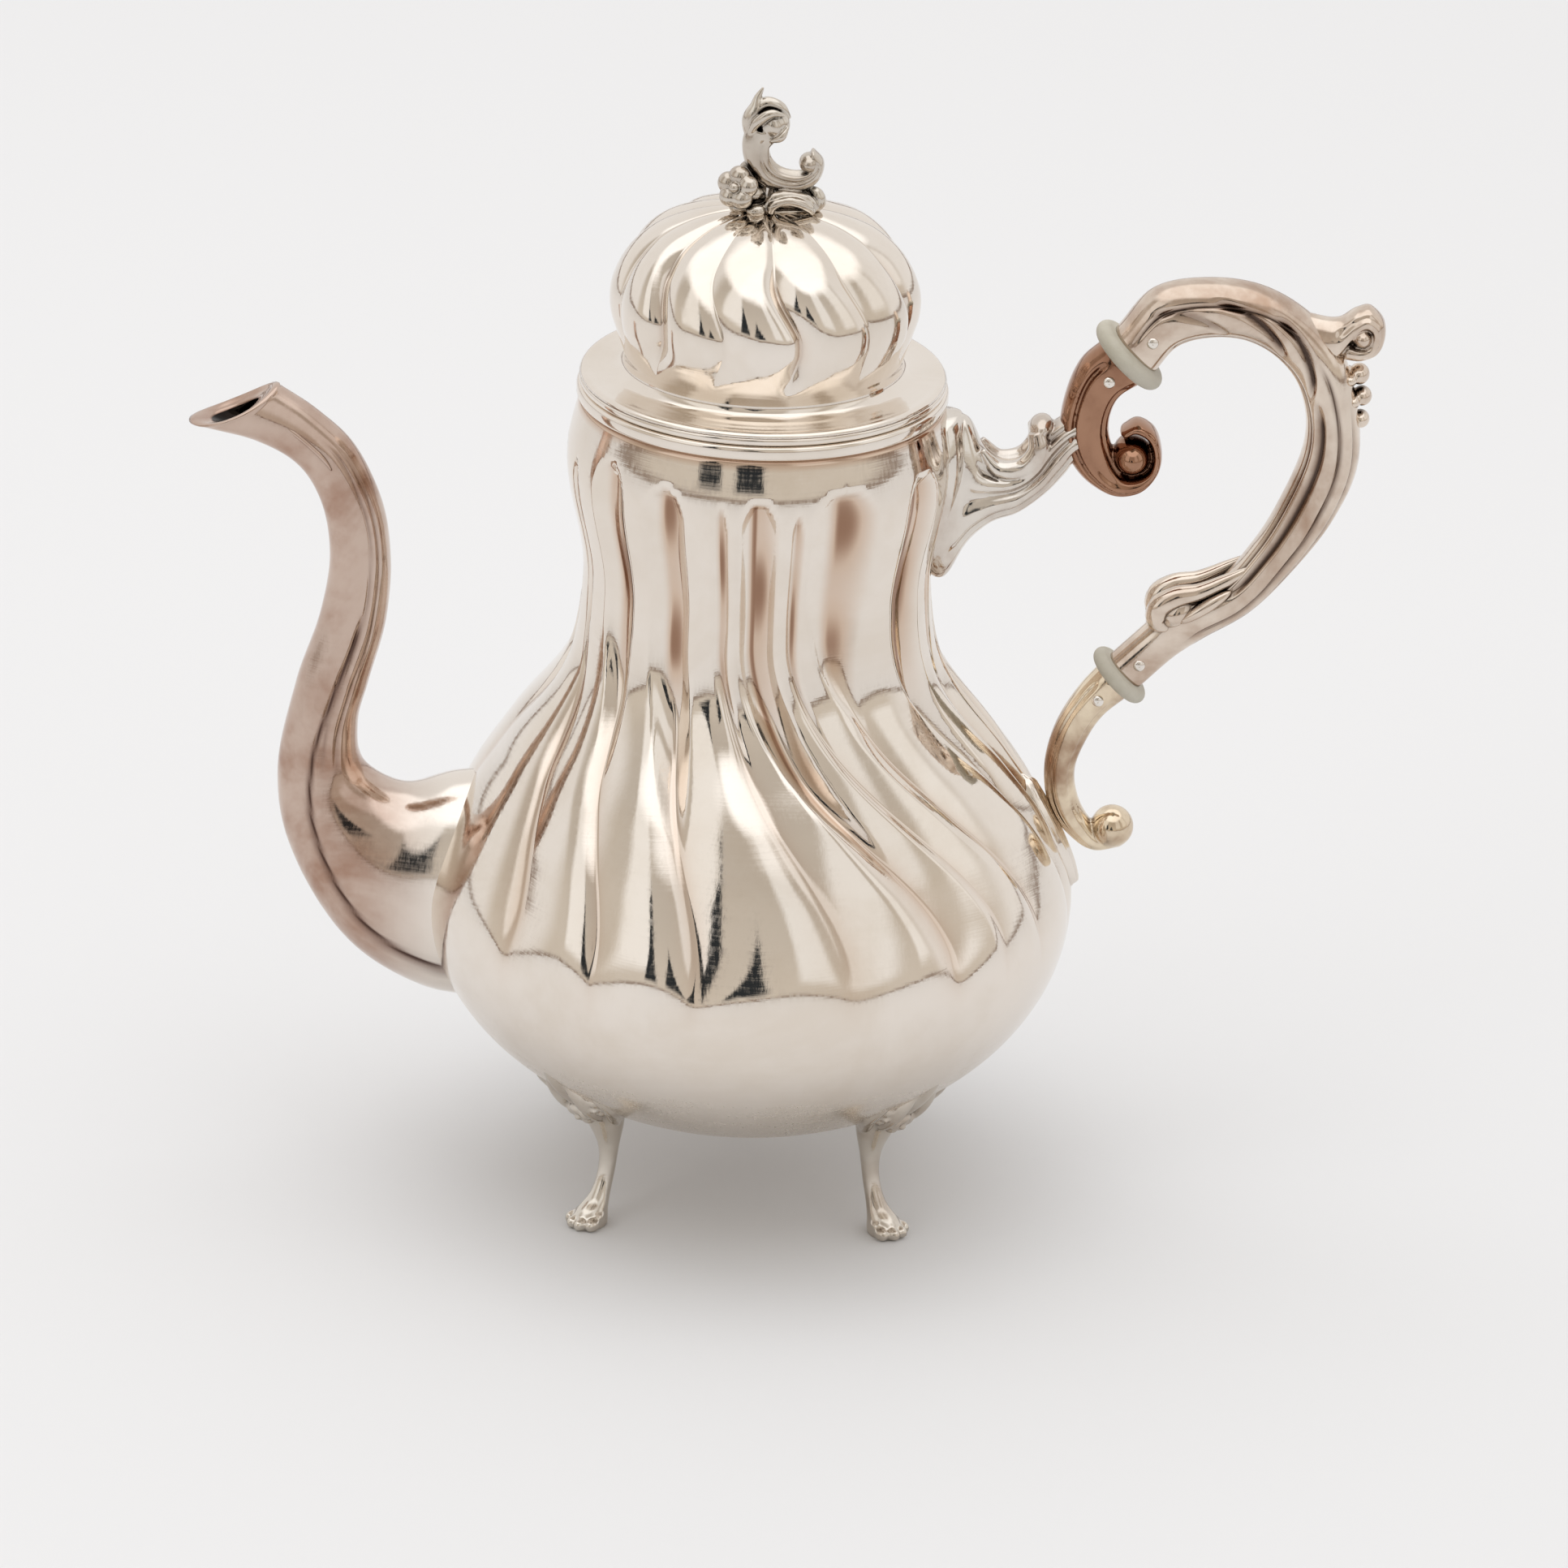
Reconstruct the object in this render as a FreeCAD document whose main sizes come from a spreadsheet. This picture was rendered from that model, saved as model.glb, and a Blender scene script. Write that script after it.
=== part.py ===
import FreeCAD, Part
import Sketcher
import math
import os

# A footed coffee pot of raised and cast silver, with a loose lift-off lid.
# Millimetres, +Z up, spout towards -X, handle towards +X, standing on Z = 0.
# Every shape is drawn about the vessel's own vertical axis, and each sub-part's Placement
# then carries that axis to body_axis_x, so that the origin is under the middle of the whole pot.

DIMENSIONS = (
    ("body_axis_x", -4.9, "from the origin to the vessel's vertical axis"),
    ("wall", 0.7, "gauge of the raised silver sheet"),
    ("bottom_height", 17.0, "underside of the vessel above the table"),
    ("belly_radius", 72.8, "widest part of the vessel"),
    ("belly_height", 69.8, "height of the widest part"),
    ("haunch_radius", 65.2, "upper belly"),
    ("haunch_height", 92.0, "height of the upper belly"),
    ("flank_radius", 57.0, "where the belly turns into the neck"),
    ("flank_height", 105.0, "height of that turn"),
    ("throat_radius", 41.2, "foot of the neck"),
    ("throat_height", 128.0, "height of the foot of the neck"),
    ("waist_radius", 38.8, "narrowest part of the neck"),
    ("waist_height", 147.0, "height of the narrowest part"),
    ("shoulder_radius", 42.7, "swelling under the rim"),
    ("shoulder_height", 176.0, "height of that swelling"),
    ("mouth_radius", 40.2, "top edge of the vessel"),
    ("mouth_height", 187.4, "height of the top edge"),
    ("rim_radius", 40.6, "outside of the rim band"),
    ("rim_band", 3.2, "height of the rim band"),
    ("rim_opening", 37.0, "radius of the mouth that the lid's bezel drops into"),
    ("seat_gap", 0.1, "air between the rim and the closed lid"),
    ("edge_band", 1.8, "height of the band under the lid's flange"),
    ("edge_band_width", 2.2, "width of that band"),
    ("flange_radius", 40.4, "outside of the lid's flange"),
    ("collar_radius", 30.4, "narrowest part of the lid, above its flange"),
    ("collar_rise", 2.9, "height of that part above the flange"),
    ("dome_radius", 34.2, "widest part of the dome"),
    ("dome_rise", 16.1, "height of that part above the flange"),
    ("dome_height", 38.4, "height of the dome above the flange"),
    ("bezel_gap", 0.2, "air round the bezel in the mouth"),
    ("bezel_depth", 12.0, "how far the bezel reaches under the flange"),
    ("stud_radius", 1.5, "threaded stud that holds the finial"),
    ("stud_length", 10.5, "length of the stud"),
    ("washer_radius", 4.5, "washer inside the dome"),
    ("washer_thickness", 0.8, "thickness of the washer"),
    ("nut_radius", 3.3, "across the nut's corners, halved"),
    ("nut_height", 2.2, "thickness of the nut"),
    ("washer_drop", 0.92, "washer's top under the crown"),
    ("stud_gap", 0.1, "air round the stud in the dome and the washer"),
    ("stud_tail", 0.5, "stud that shows under the nut"),
    ("pin_radius", 0.9, "rivet pins of the handle joints"),
    ("upper_ring_radius", 9.6, "upper insulator"),
    ("upper_ring_half", 2.0, "half the thickness of the upper insulator"),
    ("upper_tube_radius", 6.4, "grip and socket where they meet the upper insulator"),
    ("upper_tube_half_width", 6.0, "half their width there"),
    ("upper_tenon_radius", 3.2, "tenons of the upper insulator"),
    ("upper_tenon_reach", 11.0, "tenon end from the ring's middle"),
    ("upper_ring_x", 80.3, "middle of the upper insulator"),
    ("upper_ring_z", 199.6, "height of that middle"),
    ("upper_ring_tilt", 44.0, "degrees that its axis leans from vertical towards the handle"),
    ("upper_pin_length", 12.4, "length of the upper pins"),
    ("upper_handle_pin", 7.0, "upper pin in the grip, along the ring's axis"),
    ("upper_socket_pin", -6.2, "upper pin in the socket, along the ring's axis"),
    ("lower_ring_radius", 7.7, "lower insulator"),
    ("lower_ring_half", 1.7, "half the thickness of the lower insulator"),
    ("lower_tube_radius", 4.8, "grip and socket where they meet the lower insulator"),
    ("lower_tube_half_width", 4.6, "half their width there"),
    ("lower_tenon_radius", 2.2, "tenons of the lower insulator"),
    ("lower_tenon_reach", 9.5, "tenon end from the ring's middle"),
    ("lower_ring_x", 81.3, "middle of the lower insulator"),
    ("lower_ring_z", 123.6, "height of that middle"),
    ("lower_ring_tilt", 45.0, "degrees that its axis leans from vertical towards the handle"),
    ("lower_pin_length", 9.4, "length of the lower pins"),
    ("lower_handle_pin", 5.9, "lower pin in the grip, along the ring's axis"),
    ("lower_socket_pin", -6.6, "lower pin in the socket, along the ring's axis"),
    ("ring_bevel", 0.9, "bevel of the insulators' outer edges"),
    ("casting_wall", 1.1, "wall of the hollow spout and grip castings"),
    ("tenon_gap", 0.05, "air round a tenon in its socket"),
    ("upper_roll_radius", 8.7, "rolled end of the upper socket"),
    ("upper_roll_width", 9.6, "its width in Y"),
    ("upper_roll_x", 80.2, "its middle"),
    ("upper_roll_z", 175.5, "height of its middle"),
    ("upper_roll_edge", 3.6, "rounding of its edges"),
    ("lower_ball_radius", 5.0, "ball at the end of the lower socket"),
    ("lower_ball_x", 81.0, "its middle"),
    ("lower_ball_z", 87.0, "height of its middle"),
    ("thumb_roll_radius", 6.0, "rolled end of the thumb rest"),
    ("thumb_roll_width", 9.0, "its width in Y"),
    ("thumb_roll_x", 130.3, "its middle"),
    ("thumb_roll_z", 206.5, "height of its middle"),
    ("thumb_roll_edge", 2.4, "rounding of its edges"),
    ("bead_radius", 1.9, "drops on the back of the grip"),
    ("strainer_hole", 2.2, "radius of the holes behind the spout"),
    ("strainer_pitch", 8.0, "distance between those holes"),
    ("strainer_height", 70.0, "height of the middle hole"),
    ("bracket_pad_thickness", 4.0, "pad of the handle bracket, proud of the neck"),
    ("lower_pad_thickness", 2.4, "leaf under the lower socket, proud of the belly"),
    ("flower_radius", 4.6, "flower on the finial"),
    ("flower_x", -7.3, "its middle"),
    ("flower_y", -4.0, "its middle"),
    ("flower_rise", 5.6, "height of its middle above the crown"),
    ("bud_radius", 4.3, "bud at the top of the finial"),
    ("bud_x", -0.7, "its middle"),
    ("bud_rise", 19.0, "height of its middle above the crown"),
    ("curl_ball_radius", 2.2, "ball at the end of the finial's curl"),
    ("curl_ball_x", 8.2, "its middle"),
    ("curl_ball_rise", 12.6, "height of its middle above the crown"),
    ("foot_angle", 45.0, "degrees between a foot and the spout-handle line"),
    ("mount_thickness", 2.4, "leaf mount of a foot, proud of the vessel"),
)

# Stations of the cast parts: the two edge points (x, z) of a cross-section that faces along the
# part, then its half width in Y.
SPOUT = (
    ((-62, 40), (-52, 92), 20),
    ((-87, 52.5), (-74, 90.5), 16),
    ((-97.1, 64.5), (-82, 93.5), 12.5),
    ((-104.2, 80.2), (-87.6, 99), 10),
    ((-106, 94), (-88.1, 106), 8.6),
    ((-102.2, 115), (-85.9, 117), 7.6),
    ((-96.8, 133), (-82.1, 132), 6.8),
    ((-94.9, 147), (-81.3, 145), 6.4),
    ((-97.2, 160), (-83.6, 160), 6.2),
    ((-103.2, 169), (-90.2, 173.2), 6),
    ((-112, 173.8), (-98, 180.5), 5.8),
    ((-126.3, 176.9), (-106.3, 186.1), 5.6),
)
GRIP = (
    ((85, 215.1), (91, 202.5), 6.2),
    ((97.8, 217.8), (98.5, 204.9), 6.6),
    ((109.1, 216.3), (105.5, 204.5), 6.8),
    ((119.5, 210.5), (112, 201.2), 6.9),
    ((127, 202), (117, 195.5), 7),
    ((130.8, 191), (119.6, 187.6), 7),
    ((132, 178), (119.5, 179.6), 7),
    ((127.2, 163.2), (115, 166.6), 6.8),
    ((119, 151), (109.6, 156.2), 6.6),
    ((109.2, 140.1), (101.5, 146.4), 6.4),
    ((99.5, 133.6), (92.6, 142.6), 6),
    ((94.4, 129.8), (87.4, 136.8), 4.9),
)
THUMB_ARM = (
    ((120, 209.4), (118, 198), 5),
    ((126, 209.6), (126, 200.8), 4.4),
    ((131, 211), (131, 202), 4),
)
UPPER_SOCKET = (
    ((69.7, 198.4), (78.6, 191), 5.8),
    ((66.6, 190), (76.6, 186), 5.6),
    ((65.8, 182), (76.6, 181.4), 5.4),
    ((68, 175.2), (78.3, 178.6), 5),
    ((74, 168.6), (80, 176), 4.6),
)
LOWER_SOCKET = (
    ((72.4, 120.4), (78.6, 114.6), 4.4),
    ((67.4, 111), (74.6, 108), 4.2),
    ((65.4, 100.7), (72.3, 100.5), 4),
    ((66.8, 92), (73.6, 95), 3.8),
    ((71.2, 85.2), (76.4, 91.4), 3.4),
    ((77.6, 81.8), (80, 88), 3),
)
BRACKET_ARM = (
    ((39, 180), (38, 155), 7),
    ((48.4, 177.5), (47.4, 156.5), 6),
    ((53, 173.9), (53.5, 160.5), 4.8),
    ((58.5, 175.2), (61.5, 164.6), 4.4),
    ((61.6, 181.8), (66.5, 170.4), 4.4),
    ((67, 184.6), (71, 174), 4.4),
)
FINIAL_SPINE = (
    ((-9, 233), (1, 233), 4),
    ((-8.6, 239), (-3, 238.6), 2.4),
    ((-7.1, 246), (-2.6, 245), 2.2),
    ((-4.9, 252.4), (1.2, 249.6), 3),
    ((-4.4, 255.6), (-0.6, 254.4), 1.8),
    ((-4.4, 259), (-3.2, 258.6), 0.6),
)
FINIAL_CURL = (
    ((-6, 239.6), (-3.4, 244), 2.2),
    ((-1.6, 234.9), (0, 238.8), 2.1),
    ((4.6, 234.6), (4.4, 238), 2),
    ((9.2, 237.4), (6.9, 239.6), 1.9),
    ((10.1, 242.2), (7.2, 242.6), 1.8),
)
# Rings of the finial's base: height above the crown, and its half widths in X and Y.
FINIAL_BASE = (
    (-4, 11.6, 9),
    (1.5, 11, 8.4),
    (4, 8.4, 6),
    (5.6, 4.6, 3.6),
)
# Rings of a leg: height, distance of its centre from the vessel's axis, radial and tangential halves.
LEG = (
    (0, 46.5, 4.6, 3.6),
    (3, 46.4, 4.4, 3.4),
    (6.5, 44, 2.6, 2.5),
    (12, 42, 2, 2.1),
    (18, 41.5, 2.4, 2.6),
    (24, 42.5, 4, 4.5),
    (29, 44.5, 6, 6),
)
# One side of each soldered leaf's outline, from its lower or inner tip: distance along it, half width.
FOOT_MOUNT = ((36, 0), (42, 7), (51, 9.5), (59, 7), (65, 0))
BRACKET_PAD = ((146.4, 0), (151, 5), (165, 8), (178, 9), (184.2, 6))
LOWER_PAD = ((72, 0), (78, 3.6), (90, 4.4), (97, 2.6))
BEADS = ((131.4, 196.9), (132.3, 191.8), (132.2, 186.4))
DRILL_LENGTH = 30

doc = FreeCAD.newDocument("coffee_pot")
sheet = doc.addObject("Spreadsheet::Sheet", "Dimensions")
for row, (alias, value, meaning) in enumerate(DIMENSIONS, start=1):
    sheet.set(f"A{row}", alias)
    sheet.set(f"B{row}", str(value))
    sheet.setAlias(f"B{row}", alias)
    sheet.set(f"C{row}", meaning)
doc.recompute()

Vector = FreeCAD.Vector
sub_parts = []


def size(alias):
    """A driving dimension's value."""
    return float(sheet.get(alias))


def bound(terms):
    """The value of a sum of dimensions, such as "mouth_radius - wall", and its expression."""
    total = 0.0
    sign = 1
    words = []
    for word in terms.split():
        if word in "+-":
            sign = 1 if word == "+" else -1
            words.append(word)
        else:
            total += sign * size(word)
            words.append("Dimensions." + word)
    return total, " ".join(words)


def keep(thing, label, turn=0.0):
    """Names a finished sub-part and sets it on the vessel's axis, turned about that axis."""
    thing.Label = label
    upright = FreeCAD.Rotation(Vector(0, 0, 1), turn)
    thing.Placement = FreeCAD.Placement(Vector(size("body_axis_x"), 0, 0), upright)
    thing.setExpression("Placement.Base.x", "Dimensions.body_axis_x")
    sub_parts.append(thing)
    return thing


def solid_part(label, shape, turn=0.0):
    """A sub-part of free form, whose shape is worked out from the dimensions here."""
    thing = doc.addObject("Part::Feature", label)
    thing.Shape = shape
    return keep(thing, label, turn)


# --- Turned parts: a sketch in the XZ plane, revolved about the vertical axis ---


def turned_body(name):
    """An empty body and the sketch that its revolution will use."""
    body = doc.addObject("PartDesign::Body", name)
    sketch = body.newObject("Sketcher::SketchObject", name + "_outline")
    plane = next(item for item in body.Origin.OriginFeatures if item.Role == "XZ_Plane")
    sketch.AttachmentSupport = (plane, [""])
    sketch.MapMode = "FlatFace"
    return body, sketch


def join_corners(sketch, count):
    """Ties the end of each of the sketch's edges to the start of the next."""
    for edge in range(count):
        sketch.addConstraint(Sketcher.Constraint("Coincident", edge, 2, (edge + 1) % count, 1))


def fix_corner(sketch, edge, radius, height):
    """Holds the start of an edge at a radius and a height, each a sum of dimensions."""
    for kind, terms in (("DistanceX", radius), ("DistanceY", height)):
        value, expression = bound(terms)
        if abs(value) < 1e-9:
            continue
        number = sketch.addConstraint(Sketcher.Constraint(kind, -1, 1, edge, 1, value))
        sketch.setExpression(f"Constraints[{number}]", expression)


def revolve(body, sketch, name, sweep):
    """Revolves the body's sketch about its vertical axis; a negative sweep turns towards -Y."""
    turn = body.newObject("PartDesign::Revolution", name + "_turned")
    turn.Profile = sketch
    turn.ReferenceAxis = (sketch, ["V_Axis"])
    turn.Angle = abs(sweep)
    turn.Reversed = sweep < 0
    body.Tip = turn
    doc.recompute()
    return body


def lines_through(points):
    """Straight edges from each point to the next."""
    return [Part.LineSegment(*pair) for pair in zip(points, points[1:])]


def turned_outline(name, edges, corners, sweep=360):
    """A turned part from a closed chain of edges; corners fixes the start of some of them."""
    body, sketch = turned_body(name)
    for edge in edges:
        sketch.addGeometry(edge, False)
    join_corners(sketch, len(edges))
    for edge, (radius, height) in corners:
        fix_corner(sketch, edge, radius, height)
    return revolve(body, sketch, name, sweep)


def turned_ring(name, corners):
    """A turned part with straight edges, from corners given as (radius, height) sums."""
    points = [Vector(bound(radius)[0], bound(height)[0], 0) for radius, height in corners]
    return turned_outline(name, lines_through(points + points[:1]), enumerate(corners))


def curve_through(points, start=None, end=None):
    """A smooth curve through (radius, height) points, with optional end directions."""
    curve = Part.BSplineCurve()
    places = [Vector(*point, 0) for point in points]
    if start and end:
        curve.interpolate(Points=places, InitialTangent=Vector(*start, 0), FinalTangent=Vector(*end, 0))
    else:
        curve.interpolate(Points=places)
    return curve


def grown(curve, points, distance):
    """The (radius, height) points moved off a curve, outwards when distance is positive."""
    moved = []
    for radius, height in points:
        place = curve.parameter(Vector(radius, height, 0))
        along = curve.tangent(place)[0]
        moved.append((radius + along.y * distance, height - along.x * distance))
    return moved


# --- The vessel ---


def vessel_points():
    """The vessel's profile: a quarter ellipse under the belly, then the named stations."""
    depth = size("belly_height") - size("bottom_height")
    points = []
    for degrees in (0, 22, 44, 66, 90):
        angle = math.radians(degrees)
        radius = size("belly_radius") * math.sin(angle)
        points.append((radius, size("belly_height") - depth * math.cos(angle)))
    for station in ("haunch", "flank", "throat", "waist", "shoulder", "mouth"):
        points.append((size(station + "_radius"), size(station + "_height")))
    return points


def vessel_curve(distance=0.0):
    """The vessel's profile curve, or one grown from it by a distance."""
    points = vessel_points()
    curve = curve_through(points, (120, 0), (-30, 120))
    if not distance:
        return curve
    moved = grown(curve, points, distance)
    moved[0] = (0.0, points[0][1] - distance)
    return curve_through(moved, (120, 0), (-30, 120))


def upright_curve(curve):
    """A profile curve's edge, stood up in the XZ plane."""
    edge = curve.toShape()
    edge.rotate(Vector(0, 0, 0), Vector(1, 0, 0), 90)
    return edge


def full_turn(curve):
    """The closed solid that a profile curve encloses when it is turned about the vertical axis."""
    start = curve.StartPoint
    end = curve.EndPoint
    corners = [Vector(end.x, 0, end.y), Vector(0, 0, end.y), Vector(0, 0, start.y)]
    if start.x > 0:
        corners.append(Vector(start.x, 0, start.y))
    closing = [Part.makeLine(*pair) for pair in zip(corners, corners[1:])]
    face = Part.Face(Part.Wire([upright_curve(curve)] + closing))
    return face.revolve(Vector(0, 0, 0), Vector(0, 0, 1), 360)


VESSEL = full_turn(vessel_curve())


def strainer_drills(side):
    """Three drills through one half of the vessel's wall; those of both halves make a ring of six."""
    drills = []
    for angle in (30, 90, 150):
        drill = doc.addObject("Part::Cylinder", "strainer_drill")
        drill.setExpression("Radius", "Dimensions.strainer_hole")
        drill.Height = DRILL_LENGTH
        across = side * size("strainer_pitch") * math.sin(math.radians(angle))
        above = size("strainer_pitch") * math.cos(math.radians(angle))
        start = -size("belly_radius") - DRILL_LENGTH / 2
        place = Vector(start, across, size("strainer_height") + above)
        drill.Placement = FreeCAD.Placement(place, FreeCAD.Rotation(Vector(0, 1, 0), 90))
        drills.append(drill)
    return drills


def drilled(name, base, drills):
    """A part with drills taken out of it, kept as a sub-part."""
    bundle = doc.addObject("Part::MultiFuse", name + "_drills")
    bundle.Shapes = drills
    cut = doc.addObject("Part::Cut", name)
    cut.Base = base
    cut.Tool = bundle
    return keep(cut, name)


def make_vessel():
    """The vessel's wall, pressed in two halves that are soldered along the plane of spout and handle."""
    for side, name in ((-1, "body_left_half"), (1, "body_right_half")):
        outer = vessel_curve()
        inner = vessel_curve(-size("wall"))
        inner.reverse()
        lip = lines_through([outer.EndPoint, inner.StartPoint])
        axis = lines_through([inner.EndPoint, outer.StartPoint])
        corners = ((0, ("", "bottom_height")), (1, ("mouth_radius", "mouth_height")))
        blank = turned_outline(name + "_blank", [outer] + lip + [inner] + axis, corners, 180 * side)
        drilled(name, blank, strainer_drills(side))


def make_rim_band():
    top = "mouth_height + rim_band"
    inside = (("rim_opening", top), ("rim_opening", "mouth_height"))
    outside = (("rim_radius", "mouth_height"), ("rim_radius", top))
    keep(turned_ring("rim_band_turning", inside + outside), "rim_band")


# --- Castings: lofts through oval cross-sections ---


def place_and_stretch(middle, half_a, half_b):
    """The matrix that carries the unit circle onto an ellipse with these half axes."""
    across = half_a.cross(half_b)
    across.normalize()
    return FreeCAD.Matrix(
        half_a.x, half_b.x, across.x, middle.x,
        half_a.y, half_b.y, across.y, middle.y,
        half_a.z, half_b.z, across.z, middle.z,
        0, 0, 0, 1,
    )


def oval(middle, half_a, half_b):
    """An ellipse about a middle point, from its two half axes given as vectors."""
    return Part.Wire(Part.makeCircle(1).transformGeometry(place_and_stretch(middle, half_a, half_b)).Edges)


def half_oval(middle, half_a, half_b):
    """The half of that ellipse on the side that half_b points to."""
    half_circle = Part.makeCircle(1, Vector(0, 0, 0), Vector(0, 0, 1), 0, 180)
    return half_circle.transformGeometry(place_and_stretch(middle, half_a, half_b)).Edges[0]


def middle_and_half(station):
    """The middle of a station and the vector from there to its first edge point."""
    (x_a, z_a), (x_b, z_b), half_width = station
    return Vector((x_a + x_b) / 2, 0, (z_a + z_b) / 2), Vector((x_a - x_b) / 2, 0, (z_a - z_b) / 2)


def casting(stations):
    """A solid loft through stations."""
    rings = []
    for station in stations:
        middle, half = middle_and_half(station)
        rings.append(oval(middle, half, Vector(0, station[2], 0)))
    return Part.makeLoft(rings, True, False)


def half_casting(stations, side):
    """One half of a hollow casting, split along Y = 0: side is +1 or -1."""
    wall = size("casting_wall")
    rings = []
    for station in stations:
        middle, half = middle_and_half(station)
        thin = half * (1 - wall / half.Length)
        outer = half_oval(middle, half, Vector(0, side * station[2], 0))
        inner = half_oval(middle, thin, Vector(0, side * (station[2] - wall), 0))
        near = Part.makeLine(middle + thin, middle + half)
        far = Part.makeLine(middle - half, middle - thin)
        rings.append(Part.Wire([near, outer, far, inner]))
    return Part.makeLoft(rings, True, False)


def ball(radius, x, z, y=0.0):
    return Part.makeSphere(size(radius), Vector(x, y, z))


def across_pin(radius, length, x, z):
    """A round bar through the pot's middle plane, along Y."""
    return Part.makeCylinder(radius, length, Vector(x, -length / 2, z), Vector(0, 1, 0))


def rolled_end(name):
    """The rolled-up end of a scroll: a thick disc across the middle plane, with soft edges."""
    place = (size(name + "_x"), size(name + "_z"))
    disc = across_pin(size(name + "_radius"), size(name + "_width"), *place)
    rims = [edge for edge in disc.Edges if edge.Curve.TypeId == "Part::GeomCircle"]
    return disc.makeFillet(size(name + "_edge"), rims)


def make_spout():
    for label, side in (("spout_left_half", -1), ("spout_right_half", 1)):
        solid_part(label, half_casting(SPOUT, side).cut(VESSEL))


def mirrored(outline):
    """A closed outline from its right side: the points and their mirror images."""
    left = [(along, -half) for along, half in reversed(outline) if half]
    return list(outline) + left


def leaf_on_vessel(corners, reach, thickness):
    """The plate that lies on the vessel inside a flat outline carried along a reach."""
    prism = Part.Face(Part.makePolygon(corners + corners[:1])).extrude(reach)
    plate = full_turn(vessel_curve(thickness)).common(prism)
    return plate.cut(VESSEL)


def leaf_facing_handle(outline, thickness):
    """A plate on the handle side of the vessel, from an outline of heights and half widths."""
    corners = [Vector(0, half, height) for height, half in mirrored(outline)]
    return leaf_on_vessel(corners, Vector(2 * size("belly_radius"), 0, 0), thickness)


def ring_direction(which):
    """The unit axis of an insulator, from the socket towards the grip."""
    tilt = math.radians(size(which + "_ring_tilt"))
    return Vector(math.sin(tilt), 0, math.cos(tilt))


def ring_middle(which):
    return Vector(size(which + "_ring_x"), 0, size(which + "_ring_z"))


def joint_pin(which, joint):
    """The drill for the pin of a handle joint, straight across the pot."""
    place = ring_middle(which) + ring_direction(which) * size(f"{which}_{joint}_pin")
    return across_pin(size("pin_radius"), 40, place.x, place.z)


def tenon_drill(which):
    """The bore that takes an insulator's tenons, with their air."""
    along = ring_direction(which)
    reach = size(which + "_tenon_reach") + 0.2
    radius = size(which + "_tenon_radius") + size("tenon_gap")
    return Part.makeCylinder(radius, 2 * reach, ring_middle(which) - along * reach, along)


def ring_station(which, side):
    """The cross-section where a tube meets an insulator: side +1 is the grip's, -1 the socket's."""
    along = ring_direction(which)
    middle = ring_middle(which) + along * (side * size(which + "_ring_half"))
    out = Vector(-along.z, 0, along.x) * size(which + "_tube_radius")
    outer = middle + out
    inner = middle - out
    return (outer.x, outer.z), (inner.x, inner.z), size(which + "_tube_half_width")


def upper_tube():
    return casting((ring_station("upper", -1),) + UPPER_SOCKET)


def upper_socket_shape():
    roll = rolled_end("upper_roll")
    socket = upper_tube().fuse(roll).cut(tenon_drill("upper"))
    return socket.cut(joint_pin("upper", "socket"))


def lower_socket_shape():
    socket = casting((ring_station("lower", -1),) + LOWER_SOCKET).fuse(ball("lower_ball_radius", size("lower_ball_x"), size("lower_ball_z")))
    socket = socket.cut(tenon_drill("lower"))
    return socket.cut(joint_pin("lower", "socket"))


def make_sockets():
    lower = lower_socket_shape()
    solid_part("upper_socket", upper_socket_shape())
    solid_part("lower_socket", lower)
    arm = casting(BRACKET_ARM).cut(VESSEL)
    bracket = leaf_facing_handle(BRACKET_PAD, size("bracket_pad_thickness")).fuse(arm)
    solid_part("handle_bracket", bracket.cut(upper_tube()))
    tongue = leaf_facing_handle(LOWER_PAD, size("lower_pad_thickness"))
    solid_part("lower_pad", tongue.cut(lower))


def make_grip():
    inner, outer, half_width = ring_station("lower", 1)
    stations = (ring_station("upper", 1),) + GRIP + ((outer, inner, half_width),)
    outside = casting(stations)
    for label, side in (("handle_left_half", -1), ("handle_right_half", 1)):
        half = half_casting(stations, side)
        for which in ("upper", "lower"):
            half = half.cut(joint_pin(which, "handle"))
        solid_part(label, half)
    scroll = rolled_end("thumb_roll")
    solid_part("thumb_scroll", scroll.fuse(casting(THUMB_ARM)).cut(outside))
    drops = [ball("bead_radius", x, z).cut(outside) for x, z in BEADS]
    solid_part("bead_drops", Part.makeCompound(drops))


def pin_bar(name, which, joint):
    """A parametric round bar where a handle joint's pin goes."""
    bar = doc.addObject("Part::Cylinder", name)
    bar.setExpression("Radius", "Dimensions.pin_radius")
    bar.setExpression("Height", f"Dimensions.{which}_pin_length")
    place = ring_middle(which) + ring_direction(which) * size(f"{which}_{joint}_pin")
    start = place - Vector(0, size(which + "_pin_length") / 2, 0)
    bar.Placement = FreeCAD.Placement(start, FreeCAD.Rotation(Vector(1, 0, 0), -90))
    return bar


def make_pins():
    for which in ("upper", "lower"):
        for joint in ("handle", "socket"):
            label = f"{which}_{joint}_pin"
            bar = pin_bar(label, which, joint)
            bar.Label = label
            bar.Placement.Base.x += size("body_axis_x")
            sub_parts.append(bar)


def insulator_corners(which):
    """The outline of an insulator: a bevelled ring with a tenon on each side."""
    ring = which + "_ring_radius"
    tenon = which + "_tenon_radius"
    reach = which + "_tenon_reach"
    half = which + "_ring_half"
    lower_half = (
        ("", "- " + reach),
        (tenon, "- " + reach),
        (tenon, "- " + half),
        (ring + " - ring_bevel", "- " + half),
        (ring, "- " + half + " + ring_bevel"),
    )
    upper_half = (
        (ring, half + " - ring_bevel"),
        (ring + " - ring_bevel", half),
        (tenon, half),
        (tenon, reach),
        ("", reach),
    )
    return lower_half + upper_half


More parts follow.
